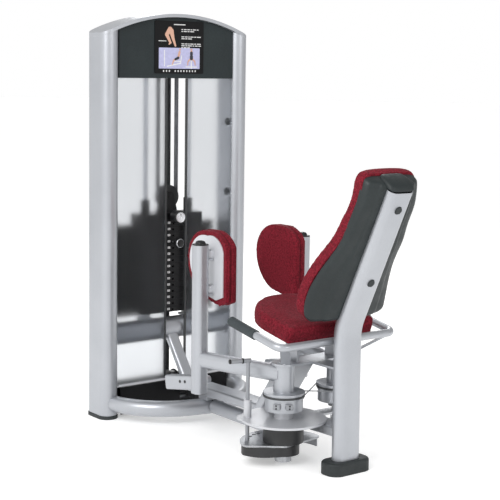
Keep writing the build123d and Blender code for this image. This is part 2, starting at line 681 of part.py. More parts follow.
NUT_RADIUS = 16.0
for side, sign in SIDES.items():
    foot_z = 12.0 if side == "left" else 122.0
    with BuildPart() as hub_shaft:
        with BuildSketch(Plane.XY.offset(foot_z)):
            with Locations((sign * HUB_X, HUB_Y)):
                Circle(SHAFT_RADIUS)
        extrude(amount=TOP_PLATE_Z + TOP_PLATE_THICK - foot_z)
        # the round foot of the left shaft, or the nut under the right one
        with BuildSketch(Plane.XY.offset(foot_z)):
            with Locations((sign * HUB_X, HUB_Y)):
                if side == "left":
                    Circle(30)
                else:
                    RegularPolygon(NUT_RADIUS + 6, 6)
        extrude(amount=27 if side == "left" else 16)
        if side == "right":
            # a collar carries the right drum
            with BuildSketch(Plane.XY.offset(DRUM_BOTTOM - 20)):
                with Locations((HUB_X, HUB_Y)):
                    Circle(30)
            extrude(amount=19.6)
            with BuildSketch(Plane.XY.offset(SPINE_TOP + 14)):
                with Locations((HUB_X - 35, HUB_Y)):
                    Rectangle(108, 56)
            extrude(amount=8)
        with BuildSketch(Plane.XY.offset(TOP_PLATE_Z + TOP_PLATE_THICK)):
            with Locations((sign * HUB_X, HUB_Y)):
                RegularPolygon(NUT_RADIUS, 6)
        extrude(amount=9)
    save(hub_shaft, f"{side}_hub_shaft")

# ---------------------------------------------------------------- arms

ARM_HUB_POINT = (-138.0, TOWER_Y - 864)
BORE_RADIUS = SHAFT_RADIUS + RUNNING_GAP


def arm_frame(sign):
    """The welded arm: hub sleeve, link drum, oval arm tube, upright post and its cap."""
    hub = (sign * HUB_X, HUB_Y)
    post = (sign * POST_X, POST_Y)
    arm_start = (-sign * ARM_HUB_POINT[0], ARM_HUB_POINT[1], ARM_Z)
    arm_end = (sign * POST_X, POST_Y, ARM_Z)
    with BuildPart() as arm:
        with BuildSketch(along(arm_start, arm_end)):
            RectangleRounded(ARM_WIDE, ARM_HIGH, 22)
            RectangleRounded(ARM_WIDE - 7, ARM_HIGH - 7, 18, mode=Mode.SUBTRACT)
        extrude(amount=distance(arm_start, arm_end))
        with BuildSketch(Plane.XY.offset(DRUM_BOTTOM)):
            with Locations(hub):
                Circle(SLEEVE_RADIUS)
            with Locations(post):
                RectangleRounded(POST_WIDE, POST_WIDE, 20)
        extrude(amount=TOP_PLATE_Z - DRUM_BOTTOM, mode=Mode.SUBTRACT)
        with BuildSketch(Plane.XY.offset(POST_BOTTOM)):
            with Locations(post):
                RectangleRounded(POST_WIDE, POST_WIDE, 20)
                RectangleRounded(POST_WIDE - 7, POST_WIDE - 7, 17, mode=Mode.SUBTRACT)
        extrude(amount=POST_TOP - POST_BOTTOM)
        with BuildSketch(Plane.XY.offset(SLEEVE_BOTTOM)):
            with Locations(hub):
                Circle(SLEEVE_RADIUS)
        extrude(amount=HUB_TOP - SLEEVE_BOTTOM)
        # the drum has a groove for the link cables between two rims
        for low, high, radius in (
            (DRUM_BOTTOM, 240.0, DRUM_RADIUS - 7),
            (240.0, 257.0, DRUM_RADIUS - 3),
            (257.0, 262.0, DRUM_RADIUS),
        ):
            with BuildSketch(Plane.XY.offset(low)):
                with Locations(hub):
                    Circle(radius)
            extrude(amount=high - low)
        with BuildSketch(Plane.XY.offset(DRUM_BOTTOM - 1)):
            with Locations(hub):
                Circle(BORE_RADIUS)
        extrude(amount=300, mode=Mode.SUBTRACT)
    return arm


def foot_rest(sign):
    """A bar that reaches forward and slightly down from the post, with a tread inside it."""
    start = (sign * POST_X, POST_Y + POST_WIDE / 2 - 12, 236.0)
    end = (sign * POST_X, POST_Y + 200, 203.0)
    with BuildPart() as rest:
        with BuildSketch(along(start, end)):
            RectangleRounded(38, 55, 8)
        extrude(amount=distance(start, end))
        rest_tip = rest.faces().sort_by(Axis.Y)[-1].edges()
        fillet(rest_tip, 7)
        with BuildSketch(Plane.XY.offset(POST_BOTTOM - 30)):
            with Locations((sign * POST_X, POST_Y)):
                RectangleRounded(POST_WIDE, POST_WIDE, 20)
        extrude(amount=120, mode=Mode.SUBTRACT)
        # tread for the foot
        with BuildSketch(facing_right(sign * (POST_X - 15))):
            with Locations((POST_Y + 128, 214)):
                RectangleRounded(74, 30, 12)
        extrude(amount=-sign * 105)
    return rest


def pad_outline(plane, inset):
    """The leg pad's outline, straight at the back with a rounded front and an arched top."""
    rear = TOWER_Y - 600 + inset
    with BuildSketch(plane) as outline:
        with BuildLine():
            back = Line((rear, 540 + inset), (rear, 742 - inset))
            crest = (TOWER_Y - 480, 797 - inset)
            ThreePointArc(back @ 1, (TOWER_Y - 560 + inset * 0.4, 782 - inset * 0.9), crest)
            nose = (TOWER_Y - 350 - inset, 690.0)
            ThreePointArc(crest, (TOWER_Y - 383 - inset * 0.7, 765 - inset * 0.7), nose)
            chin = (TOWER_Y - 452, 543 + inset)
            ThreePointArc(nose, (TOWER_Y - 382 - inset * 0.8, 595 + inset * 0.6), chin)
            Line(chin, (rear + 42, 524 + inset))
            Line((rear + 42, 524 + inset), back @ 0)
        make_face()
    return outline


KNUCKLE_LOW = (571.0, 701.0)
KNUCKLE_HIGH = 26.0
PIVOT_PIN = 5.0


def pad_bracket(sign):
    """Two lugs on the post, each with an upright pin that a knuckle of the pad turns on."""
    with BuildPart() as bracket:
        for low in KNUCKLE_LOW:
            with BuildSketch(Plane.XY.offset(low - 9)):
                with Locations((sign * (PAD_PIVOT_X + 8), POST_Y)):
                    Rectangle(32, 30)
                with Locations((sign * POST_X, POST_Y)):
                    RectangleRounded(POST_WIDE, POST_WIDE, 20, mode=Mode.SUBTRACT)
            extrude(amount=8)
            with BuildSketch(Plane.XY.offset(low - 1)):
                with Locations((sign * PAD_PIVOT_X, POST_Y)):
                    Circle(PIVOT_PIN)
            extrude(amount=KNUCKLE_HIGH + 5)
    return bracket


def pad_plate(sign):
    """The plate behind the pad, with its two knuckles."""
    with BuildPart() as plate:
        outline = pad_outline(facing_right(sign * PAD_PLATE_X), 20)
        extrude(to_extrude=outline.sketch, amount=-sign * (PAD_PLATE_X - PAD_OUTER_X))
        for low in KNUCKLE_LOW:
            with BuildSketch(Plane.XY.offset(low)):
                with Locations((sign * PAD_PIVOT_X, POST_Y)):
                    Circle(10)
                with Locations((sign * (PAD_PIVOT_X - 6), POST_Y)):
                    Rectangle(12, 20)
                with Locations((sign * PAD_PIVOT_X, POST_Y)):
                    Circle(PIVOT_PIN + RUNNING_GAP, mode=Mode.SUBTRACT)
            extrude(amount=KNUCKLE_HIGH)
    return plate


def pad_cushion(sign):
    """The leg pad itself."""
    with BuildPart() as cushion:
        outline = pad_outline(facing_right(sign * PAD_OUTER_X), 0)
        extrude(to_extrude=outline.sketch, amount=-sign * (PAD_OUTER_X - PAD_INNER_X))
    return cushion


for side, sign in SIDES.items():
    save(arm_frame(sign), f"{side}_arm")
    save(foot_rest(sign), f"{side}_foot_rest")
    save(pad_bracket(sign), f"{side}_pad_bracket")
    save(pad_plate(sign), f"{side}_pad_plate")
    save(pad_cushion(sign), f"{side}_pad")

# The left hub carries the start position adjuster: a disk with an ear for the locking rod.
ROD_POINT = (-225.0, TOWER_Y - 785)
LOCK_ROD_RADIUS = 7.0
with BuildPart() as index_disk:
    with BuildSketch(Plane.XY.offset(DISK_BOTTOM)):
        with Locations((-HUB_X, HUB_Y)):
            Circle(DISK_RADIUS)
        with Locations(ROD_POINT):
            Circle(38)
            Circle(LOCK_ROD_RADIUS + RUNNING_GAP, mode=Mode.SUBTRACT)
        with Locations((-HUB_X, HUB_Y)):
            Circle(BORE_RADIUS, mode=Mode.SUBTRACT)
    extrude(amount=8)
    with BuildSketch(Plane.XY.offset(DISK_BOTTOM + 8)):
        with Locations((-HUB_X, HUB_Y)):
            Circle(35)
            Circle(BORE_RADIUS, mode=Mode.SUBTRACT)
    extrude(amount=DRUM_BOTTOM - DISK_BOTTOM - 8)
    # guide sleeve of the locking rod
    with BuildSketch(Plane.XY.offset(DISK_BOTTOM - 12)):
        with Locations(ROD_POINT):
            Circle(14)
            Circle(LOCK_ROD_RADIUS + RUNNING_GAP, mode=Mode.SUBTRACT)
    extrude(amount=82)
save(index_disk, "index_disk")

LEVER_Z = 370.0
lever_start = (ROD_POINT[0] + 9, ROD_POINT[1] - 3, LEVER_Z)
lever_end = (ROD_POINT[0] - 66, ROD_POINT[1] + 20, LEVER_Z)
with BuildPart() as lock_rod:
    with BuildSketch(Plane.XY.offset(CAM_TOP)):
        with Locations(ROD_POINT):
            Circle(LOCK_ROD_RADIUS)
    extrude(amount=LEVER_Z - CAM_TOP)
    with BuildSketch(along(lever_start, lever_end, x_dir=(0, 0, 1))):
        Circle(8)
    extrude(amount=distance(lever_start, lever_end))
save(lock_rod, "lock_rod")


def cam_outline(plane, radius, flat):
    """The cam's outline: round about the hub, but cut back twice on the side away from the tower."""
    with BuildSketch(plane) as outline:
        with Locations((-HUB_X, HUB_Y)):
            Circle(radius)
        for turn, near in ((52.3, flat), (100.0, flat - 14)):
            with Locations(Location((-HUB_X, HUB_Y), turn)):
                with Locations((-radius - near, 0)):
                    Rectangle(2 * radius, 4 * radius, mode=Mode.SUBTRACT)
        fillet(outline.vertices(), 26)
        with Locations((-HUB_X, HUB_Y)):
            Circle(BORE_RADIUS, mode=Mode.SUBTRACT)
    return outline


with BuildPart() as belt_cam:
    cam_shape = cam_outline(Plane.XY.offset(CAM_BOTTOM), CAM_RADIUS - 2, 62)
    extrude(to_extrude=cam_shape.sketch, amount=CAM_TOP - CAM_BOTTOM)
save(belt_cam, "belt_cam")

with BuildPart() as cam_plate:
    plate_shape = cam_outline(Plane.XY.offset(CAM_TOP), CAM_RADIUS + 2, 68)
    extrude(to_extrude=plate_shape.sketch, amount=CAM_PLATE_TOP - CAM_TOP)
    # holes for the locking rod, one for each start position
    reach = hypot(ROD_POINT[0] + HUB_X, ROD_POINT[1] - HUB_Y)
    first = degrees(atan2(ROD_POINT[1] - HUB_Y, ROD_POINT[0] + HUB_X))
    with BuildSketch(Plane.XY.offset(CAM_TOP)):
        with Locations((-HUB_X, HUB_Y)):
            with PolarLocations(reach, 5, start_angle=first - 48, angular_range=48, endpoint=True):
                Circle(LOCK_ROD_RADIUS + 0.6)
    extrude(amount=CAM_PLATE_TOP - CAM_TOP, mode=Mode.SUBTRACT)
    # spacer drum between the plate and the disk
    with BuildSketch(Plane.XY.offset(CAM_PLATE_TOP)):
        with Locations((-HUB_X, HUB_Y)):
            Circle(70)
            Circle(BORE_RADIUS, mode=Mode.SUBTRACT)
    extrude(amount=DISK_BOTTOM - 1 - CAM_PLATE_TOP)
save(cam_plate, "cam_plate")

# Two cables cross between the drums, so that the arms swing in opposite directions.
CABLE_RADIUS = 2.0
cable_reach = DRUM_RADIUS - 3 + CABLE_RADIUS + 0.4
cross_angle = degrees(atan2((HUB_X**2 - cable_reach**2) ** 0.5, cable_reach))
touch_x = HUB_X - cable_reach * cos(radians(cross_angle))
touch_y = cable_reach * sin(radians(cross_angle))
with BuildPart() as link_cables:
    for slope, height in ((1, 252.0), (-1, 245.0)):
        near = (-touch_x, HUB_Y - slope * touch_y, height)
        far = (touch_x, HUB_Y + slope * touch_y, height)
        with BuildSketch(along(near, far, x_dir=(0, 0, 1))):
            Circle(CABLE_RADIUS)
        extrude(amount=distance(near, far))
save(link_cables, "link_cables")

# ---------------------------------------------------------------- seat

seat_plane = Plane(
    origin=(0, SEAT_REAR_Y, SEAT_REAR_Z),
    x_dir=(1, 0, 0),
    z_dir=(0, -sin(radians(SEAT_TILT)), cos(radians(SEAT_TILT))),
)
half_seat = SEAT_WIDE / 2
with BuildPart() as seat_cushion:
    with BuildSketch(seat_plane):
        with BuildLine():
            Polyline((-half_seat, 150), (-half_seat, 0), (half_seat, 0), (half_seat, 150))
            ThreePointArc((-half_seat, 150), (0, SEAT_DEEP), (half_seat, 150))
        make_face()
    extrude(amount=SEAT_THICK)
save(seat_cushion, "seat_cushion")

# Two uprights and a bridge carry the seat's pan on the hub plate.
PAN_THICK = 8.0
UPRIGHT_X = 92.0
with BuildPart() as seat_support:
    for sign in SIDES.values():
        with BuildSketch(facing_right(sign * UPRIGHT_X - 4)):
            with Locations((HUB_Y - 4, (TOP_PLATE_Z + TOP_PLATE_THICK + 480) / 2)):
                Rectangle(64, 480 - TOP_PLATE_Z - TOP_PLATE_THICK)
        extrude(amount=8)
    with BuildSketch(facing_front(HUB_Y + 28)):
        with Locations((0, 440)):
            Rectangle(2 * UPRIGHT_X, 60)
    extrude(amount=6)
    with BuildSketch(seat_plane.offset(-0.4)):
        with Locations((0, 150)):
            Rectangle(600, 900)
    extrude(amount=200, mode=Mode.SUBTRACT)
    with BuildSketch(seat_plane.offset(-0.4)):
        with BuildLine():
            Polyline((-150, 130), (-150, 20), (150, 20), (150, 130))
            ThreePointArc((-150, 130), (0, SEAT_DEEP - 50), (150, 130))
        make_face()
    extrude(amount=-PAN_THICK)
save(seat_support, "seat_support")

HANDLE_RISE = 10.5
HANDLE_FRONT_Y = TOWER_Y - 735
handle_front_z = HANDLE_Z + (HANDLE_FRONT_Y - HANDLE_Y) * tan(radians(HANDLE_RISE))
with BuildPart() as handlebar:
    with BuildLine():
        bar = FilletPolyline(
            (-HANDLE_X, HANDLE_FRONT_Y, handle_front_z),
            (-HANDLE_X, HANDLE_Y, HANDLE_Z),
            (HANDLE_X, HANDLE_Y, HANDLE_Z),
            (HANDLE_X, HANDLE_FRONT_Y, handle_front_z),
            radius=32,
        )
    with BuildSketch(Plane(origin=bar @ 0, x_dir=(1, 0, 0), z_dir=bar % 0)):
        Circle(HANDLE_RADIUS)
        Circle(HANDLE_RADIUS - 2.5, mode=Mode.SUBTRACT)
    sweep()
    # straps from the hub plate up to the bar's bends
    for sign in SIDES.values():
        strap_low = (sign * 146, HUB_Y - 36, TOP_PLATE_Z + TOP_PLATE_THICK + 3)
        strap_high = (sign * 236, HANDLE_Y + 6, HANDLE_Z - 8)
        across = Vector(sign * 0.73, 0.68, 0)
        with BuildSketch(along(strap_low, strap_high, x_dir=across)):
            Rectangle(34, 6)
        extrude(amount=distance(strap_low, strap_high))
        with BuildSketch(Plane.XY.offset(TOP_PLATE_Z + TOP_PLATE_THICK)):
            with Locations((sign * 140, HUB_Y - 22)):
                Rectangle(34, 40)
        extrude(amount=6)
    with BuildSketch(Plane.XY.offset(TOP_PLATE_Z + TOP_PLATE_THICK)):
        with Locations((-HUB_X, HUB_Y), (HUB_X, HUB_Y)):
            Circle(NUT_RADIUS + 4)
    extrude(amount=30, mode=Mode.SUBTRACT)
save(handlebar, "handlebar")

GRIP_LONG = 142.0
for side, sign in SIDES.items():
    grip_front = (sign * HANDLE_X, HANDLE_FRONT_Y, handle_front_z)
    lean = radians(HANDLE_RISE)
    grip_rear_y = HANDLE_FRONT_Y - GRIP_LONG * cos(lean)
    grip_rear = (sign * HANDLE_X, grip_rear_y, handle_front_z - GRIP_LONG * sin(lean))
    with BuildPart() as grip:
        with BuildSketch(along(grip_rear, grip_front)):
            Circle(GRIP_RADIUS)
            Circle(HANDLE_RADIUS, mode=Mode.SUBTRACT)
        extrude(amount=GRIP_LONG)
        # closed end of the grip
        with BuildSketch(along(grip_front, Vector(grip_front) * 2 - Vector(grip_rear))):
            Circle(GRIP_RADIUS)
        extrude(amount=5)
        fillet(grip.edges().sort_by(Axis.Y)[-1], 4)
    save(grip, f"{side}_grip")

# ---------------------------------------------------------------- backrest

# The face of the backrest, from the top down: Z, Y behind the header, and half the width.
BACK_FACE = (
    (1066, -1204, 96),
    (1050, -1204, 114),
    (975, -1189, 122),
    (904, -1152, 128),
    (842, -1120, 138),
    (791, -1080, 150),
    (743, -1045, 163),
    (681, -1011, 178),
    (625, -992, 184),
    (583, -985, 178),
    (548, -975, 140),
)
BACK_CROWN = 1073.0
BACK_THICK = 40.0
SHELL_GAP = 0.4
SLOPE = 0.42  # how far a step behind the face also goes down


def back_view(share):
    """The backrest's outline seen from the front, with its width scaled by share."""
    right = [(half * share, z) for z, y, half in BACK_FACE]
    left = [(-x, z) for x, z in right]
    with BuildSketch(facing_front(TOWER_Y - 800)) as outline:
        with BuildLine():
            ThreePointArc(left[0], (0, BACK_CROWN), right[0])
            Spline(*right)
            Line(right[-1], left[-1])
            Spline(*left)
        make_face()
    return outline


def back_slab(near, far):
    """The side profile between two depths behind the backrest's face."""
    face = [(TOWER_Y + y, z) for z, y, half in BACK_FACE]
    face[0] = (face[0][0], BACK_CROWN + 4)
    face[-1] = (face[-1][0] - 4, face[-1][1] - 6)
    with BuildSketch(facing_right(-260)) as profile:
        with BuildLine():
            front = Spline(*[(y - near, z - near * SLOPE) for y, z in face])
            behind = Spline(*[(y - far, z - far * SLOPE) for y, z in face])
            Line(front @ 0, behind @ 0)
            Line(front @ 1, behind @ 1)
        make_face()
    return profile


with BuildPart() as backrest_cushion:
    slab = back_slab(0, BACK_THICK)
    extrude(to_extrude=slab.sketch, amount=520)
    view = back_view(1.0)
    extrude(to_extrude=view.sketch, amount=800, both=True, mode=Mode.INTERSECT)
save(backrest_cushion, "backrest_cushion")

# The shell is a shallow pan behind the cushion, with a narrower back that reaches the post.
post_low = lean_point(480, 0)
post_high = lean_point(1008, 0)
with BuildPart() as shell_rim:
    slab = back_slab(BACK_THICK + SHELL_GAP, BACK_THICK + 18)
    extrude(to_extrude=slab.sketch, amount=520)
    view = back_view(0.985)
    extrude(to_extrude=view.sketch, amount=800, both=True, mode=Mode.INTERSECT)
with BuildPart() as backrest_shell:
    with BuildSketch(facing_right(-260)):
        with BuildLine():
            rows = BACK_FACE[2:-1:2]
            inside = [(TOWER_Y + y - BACK_THICK, z - BACK_THICK * SLOPE) for z, y, half in rows]
            Polyline(*inside, (TOWER_Y - 1064, 540), (TOWER_Y - 1278, 976), inside[0])
        make_face()
    extrude(amount=520)
    clearance = back_slab(-60, BACK_THICK + 9)
    extrude(to_extrude=clearance.sketch, amount=520, mode=Mode.SUBTRACT)
    view = back_view(0.7)
    extrude(to_extrude=view.sketch, amount=800, both=True, mode=Mode.INTERSECT)
    add(shell_rim.part)
    # a hump covers the top of the post
    with BuildSketch(facing_right(-56)):
        with BuildLine():
            Polyline(
                (TOWER_Y - 1250, 1007.5),
                (TOWER_Y - 1266, 1019.5),
                (TOWER_Y - 1317, 995.5),
                (TOWER_Y - 1314, 1010),
                (TOWER_Y - 1298, 1030),
                (TOWER_Y - 1268, 1050),
                (TOWER_Y - 1250, 1053.5),
                (TOWER_Y - 1250, 1007.5),
            )
        make_face()
    extrude(amount=112)
    # the post stands in a groove up the back
    with BuildSketch(along(post_low, post_high)):
        SlotOverall(REAR_POST_WIDE + 1.2, REAR_POST_DEEP + 1.2)
    extrude(amount=distance(post_low, post_high), mode=Mode.SUBTRACT)
save(backrest_shell, "backrest_shell")
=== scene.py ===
import json
import math

import bmesh
import bpy
from mathutils import Matrix, Vector


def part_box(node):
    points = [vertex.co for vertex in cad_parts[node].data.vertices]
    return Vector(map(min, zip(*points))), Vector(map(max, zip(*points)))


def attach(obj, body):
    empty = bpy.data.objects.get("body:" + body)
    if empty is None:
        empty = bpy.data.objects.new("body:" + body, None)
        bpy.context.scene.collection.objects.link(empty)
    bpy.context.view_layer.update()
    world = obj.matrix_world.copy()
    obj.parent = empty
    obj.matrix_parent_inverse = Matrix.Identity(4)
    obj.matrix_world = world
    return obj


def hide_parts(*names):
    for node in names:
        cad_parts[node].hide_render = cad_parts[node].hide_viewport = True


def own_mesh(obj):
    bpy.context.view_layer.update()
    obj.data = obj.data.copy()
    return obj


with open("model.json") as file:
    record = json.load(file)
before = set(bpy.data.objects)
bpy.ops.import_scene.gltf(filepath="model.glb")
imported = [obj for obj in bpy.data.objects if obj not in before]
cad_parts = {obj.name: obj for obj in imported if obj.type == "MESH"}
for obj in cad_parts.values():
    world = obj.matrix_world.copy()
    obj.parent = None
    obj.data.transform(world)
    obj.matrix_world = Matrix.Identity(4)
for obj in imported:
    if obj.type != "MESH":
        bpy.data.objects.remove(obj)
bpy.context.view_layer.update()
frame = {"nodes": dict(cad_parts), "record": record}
nodes = frame["nodes"]
SIDES = {"left": -1, "right": 1}


def middle_of(node):
    """The middle of a CAD node's box."""
    low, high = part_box(node)
    return (low + high) / 2


def front_of(node):
    """The middle of the side of a CAD node that faces the seat, on the machine's middle plane."""
    return Vector((0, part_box(node)[0].y, middle_of(node).z))


# Places and sizes that more than one piece uses, in metres.
STACK_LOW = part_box("resting_plates")[0]
TOWER_Y = 0.5802
POST_X, POST_Y = 0.241, middle_of("left_pad_bracket").y
POST_TOP, POST_FOOT, POST_WIDE = 0.750, 0.1985, 0.055
HUB_X, HUB_Y = 0.123, middle_of("left_hub_shaft").y
DRUM_RADIUS = 0.075
PANEL_OUTER, PANEL_INNER = 0.274, 0.047
BELT_THICK, BELT_ROUND = 0.0025, 0.0009


# ------------------------------ materials

class Nodes:
    """A node tree, and short calls that add nodes and links to it."""

    def __init__(self, tree):
        self.tree = tree

    def node(self, kind, **settings):
        made = self.tree.nodes.new(kind)
        for key, value in settings.items():
            setattr(made, key, value)
        return made

    def link(self, start, end):
        self.tree.links.new(start, end)

    def maths(self, operation, first, second):
        made = self.node("ShaderNodeMath", operation=operation)
        for socket, value in zip(made.inputs, (first, second)):
            if isinstance(value, (int, float)):
                socket.default_value = value
            else:
                self.link(value, socket)
        return made.outputs[0]


class Look(Nodes):
    """A node material with its Principled shader, and short calls that add texture nodes to it."""

    def __init__(self, name, rough=0.5, metal=0.0, **sockets):
        self.material = bpy.data.materials.new(name)
        self.material.use_nodes = True
        super().__init__(self.material.node_tree)
        self.shader = self.tree.nodes["Principled BSDF"]
        self.shader.inputs["Roughness"].default_value = rough
        self.shader.inputs["Metallic"].default_value = metal
        for socket, value in sockets.items():
            self.shader.inputs[socket.replace("_", " ")].default_value = value
        self.place = self.node("ShaderNodeTexCoord").outputs["Object"]

    def stretched(self, scale):
        """Object coordinates multiplied by scale, which turns spots into streaks."""
        mapping = self.node("ShaderNodeMapping")
        mapping.inputs["Scale"].default_value = scale
        self.link(self.place, mapping.inputs["Vector"])
        return mapping.outputs["Vector"]

    def texture(self, kind, sockets, stretch=None, **settings):
        """A texture node in object coordinates, with the values of its sockets."""
        made = self.node(kind, **settings)
        for socket, value in sockets.items():
            made.inputs[socket].default_value = value
        self.link(self.stretched(stretch) if stretch else self.place, made.inputs["Vector"])
        return made.outputs

    def noise(self, scale, detail=3.0, stretch=None):
        return self.texture("ShaderNodeTexNoise", {"Scale": scale, "Detail": detail}, stretch)["Fac"]

    def cells(self, scale):
        return self.texture("ShaderNodeTexVoronoi", {"Scale": scale})["Distance"]

    def bands(self, scale, axis, distortion):
        sockets = {"Scale": scale, "Distortion": distortion}
        return self.texture("ShaderNodeTexWave", sockets, bands_direction=axis)["Fac"]

    def ramp(self, factor, *stops):
        """Colours or greys that follow factor; each stop is (position, colour)."""
        made = self.node("ShaderNodeValToRGB")
        elements = made.color_ramp.elements
        while len(elements) < len(stops):
            elements.new(0.5)
        for element, (position, colour) in zip(elements, stops):
            element.position = position
            element.color = (*colour, 1) if hasattr(colour, "__len__") else (colour,) * 3 + (1,)
        self.link(factor, made.inputs["Fac"])
        return made.outputs["Color"]

    def mix(self, factor, first, second, blend="MIX"):
        made = self.node("ShaderNodeMix", data_type="RGBA", blend_type=blend)
        for index, value in ((0, factor), (6, first), (7, second)):
            socket = made.inputs[index]
            if hasattr(value, "links"):
                self.link(value, socket)
            elif index == 0:
                socket.default_value = value
            else:
                socket.default_value = (*value, 1)
        return made.outputs[2]

    def colour(self, value):
        self.link(value, self.shader.inputs["Base Color"])

    def rough(self, value):
        self.link(value, self.shader.inputs["Roughness"])

    def edges(self, radius):
        """1 along edges that a radius would round, 0 on flat faces; also keeps that rounded normal."""
        bevel = self.node("ShaderNodeBevel", samples=6)
        bevel.inputs["Radius"].default_value = radius
        self.rounded = bevel.outputs["Normal"]
        flat = self.node("ShaderNodeNewGeometry").outputs["Normal"]
        dot = self.node("ShaderNodeVectorMath", operation="DOT_PRODUCT")
        self.link(self.rounded, dot.inputs[0])
        self.link(flat, dot.inputs[1])
        return self.ramp(dot.outputs["Value"], (0.80, 1.0), (0.985, 0.0))

    def bump(self, height, strength, distance=0.001):
        made = self.node("ShaderNodeBump")
        made.inputs["Strength"].default_value = strength
        made.inputs["Distance"].default_value = distance
        self.link(height, made.inputs["Height"])
        before = getattr(self, "rounded", None)
        if before is not None:
            self.link(before, made.inputs["Normal"])
        self.rounded = made.outputs["Normal"]
        self.link(self.rounded, self.shader.inputs["Normal"])


def coat(name, light, dark, rough, metal, edge=(0.78, 0.79, 0.81), radius=0.0016, gloss=0.45):
    """Powder coat: fine flake, a slow drift of tone, and paler worn edges."""
    look = Look(name, rough=rough, metal=metal, Specular_IOR_Level=gloss, Coat_Weight=gloss / 3)
    look.shader.inputs["Coat Roughness"].default_value = 0.25
    worn = look.edges(radius)
    drift = look.ramp(look.noise(2.5, 4), (0.3, dark), (0.7, light))
    flake = look.ramp(look.noise(900, 2), (0.35, 0.90), (0.65, 1.0))
    base = look.mix(1.0, drift, flake, "MULTIPLY")
    scuff = look.maths("MULTIPLY", worn, look.ramp(look.noise(60, 3), (0.42, 0.0), (0.6, 0.55)))
    look.colour(look.mix(scuff, base, edge))
    look.rough(look.ramp(look.noise(14, 4), (0.3, rough - 0.05), (0.75, rough + 0.08)))
    look.bump(look.noise(420, 3), 0.10, 0.0004)
    return look.material


def moulded(name, light, dark, rough, grain=520, strength=0.25, edge_lift=0.5, radius=0.0018, gloss=0.4):
    """Moulded plastic or rubber: pebble grain, slow tone, and edges polished by use."""
    look = Look(name, rough=rough, Specular_IOR_Level=gloss)
    worn = look.edges(radius)
    drift = look.ramp(look.noise(5, 4), (0.3, dark), (0.72, light))
    dust = look.ramp(look.noise(160, 4), (0.4, 0.86), (0.62, 1.0))
    base = look.mix(1.0, drift, dust, "MULTIPLY")
    pale = tuple(min(1.0, c * 2.2 + 0.01) for c in light)
    look.colour(look.mix(look.maths("MULTIPLY", worn, edge_lift), base, pale))
    look.rough(look.ramp(look.noise(30, 3), (0.3, rough - 0.06), (0.7, rough + 0.08)))
    look.bump(look.cells(grain), strength, 0.0006)
    return look.material


def bare_steel(name, light, dark, rough, stretch):
    """Ground or plated steel with fine streaks along the part."""
    look = Look(name, rough=rough, metal=1.0)
    worn = look.edges(0.0010)
    streak = look.noise(300, 3, stretch)
    base = look.ramp(streak, (0.3, dark), (0.7, light))
    look.colour(look.mix(worn, base, (0.86, 0.87, 0.88)))
    look.rough(look.ramp(look.noise(120, 3, stretch), (0.3, rough - 0.05), (0.7, rough + 0.12)))
    look.bump(streak, 0.06, 0.0003)
    return look.material


def upholstery(name, light, dark):
    """Woven cover: crossed threads, speckled yarn and a soft sheen."""
    look = Look(name, rough=0.82, Specular_IOR_Level=0.12, Sheen_Weight=0.06)
    look.shader.inputs["Sheen Roughness"].default_value = 0.45
    look.shader.inputs["Sheen Tint"].default_value = (0.95, 0.55, 0.6, 1)
    warp = look.bands(210, "DIAGONAL", 0.6)
    weft = look.maths("MULTIPLY", look.bands(260, "Z", 0.6), look.bands(260, "Y", 0.6))
    weave = look.maths("ADD", look.maths("MULTIPLY", warp, 0.5), look.maths("MULTIPLY", weft, 0.5))
    yarn = look.ramp(look.noise(330, 4), (0.34, dark), (0.68, light))
    slow = look.ramp(look.noise(9, 4), (0.25, 0.82), (0.75, 1.0))
    slub = look.ramp(look.noise(150, 5), (0.36, 0.52), (0.64, 1.25))
    base = look.mix(1.0, look.mix(1.0, yarn, slow, "MULTIPLY"), slub, "MULTIPLY")
    look.colour(look.mix(look.maths("MULTIPLY", weave, 0.28), base, light))
    look.rough(look.ramp(look.noise(240, 2), (0.3, 0.74), (0.7, 0.92)))
    look.bump(look.maths("ADD", weave, look.noise(700, 2)), 0.30, 0.0007)
    return look.material


def frosted(name):
    """Smoked translucent sheet with a very fine surface."""
    look = Look(name, rough=0.5, IOR=1.13, Transmission_Weight=0.985, Specular_IOR_Level=0.4)
    drift = look.noise(3, 3, (1, 1, 0.15))
    look.colour(look.ramp(drift, (0.3, (0.675, 0.695, 0.72)), (0.7, (0.715, 0.73, 0.755))))
    look.rough(look.ramp(look.noise(9, 3), (0.3, 0.46), (0.7, 0.54)))
    look.bump(look.noise(900, 2), 0.01, 0.0002)
    return look.material


def ribbed_belt(name, dark, light):
    """Woven belt: fine ribs along its length with frayed pale threads."""
    look = Look(name, rough=0.62, Specular_IOR_Level=0.35)
    worn = look.edges(0.0008)
    base = look.ramp(look.noise(220, 4, (1, 1, 0.08)), (0.35, dark), (0.72, light))
    pale = tuple(c * 2.2 for c in light)
    look.colour(look.mix(look.maths("MULTIPLY", worn, 0.4), base, pale))
    look.bump(look.noise(600, 2, (1, 1, 0.05)), 0.3, 0.0005)
    return look.material


def printed(name, colour, rough=0.35, gloss=0.5):
    """Printed ink or thin film with faint mottling."""
    look = Look(name, rough=rough, Specular_IOR_Level=gloss)
    dim = tuple(c * 0.86 for c in colour)
    look.colour(look.ramp(look.noise(90, 4), (0.3, dim), (0.7, colour)))
    look.rough(look.ramp(look.noise(200, 2), (0.3, rough - 0.05), (0.7, rough + 0.08)))
    look.bump(look.noise(800, 2), 0.04, 0.0002)
    return look.material


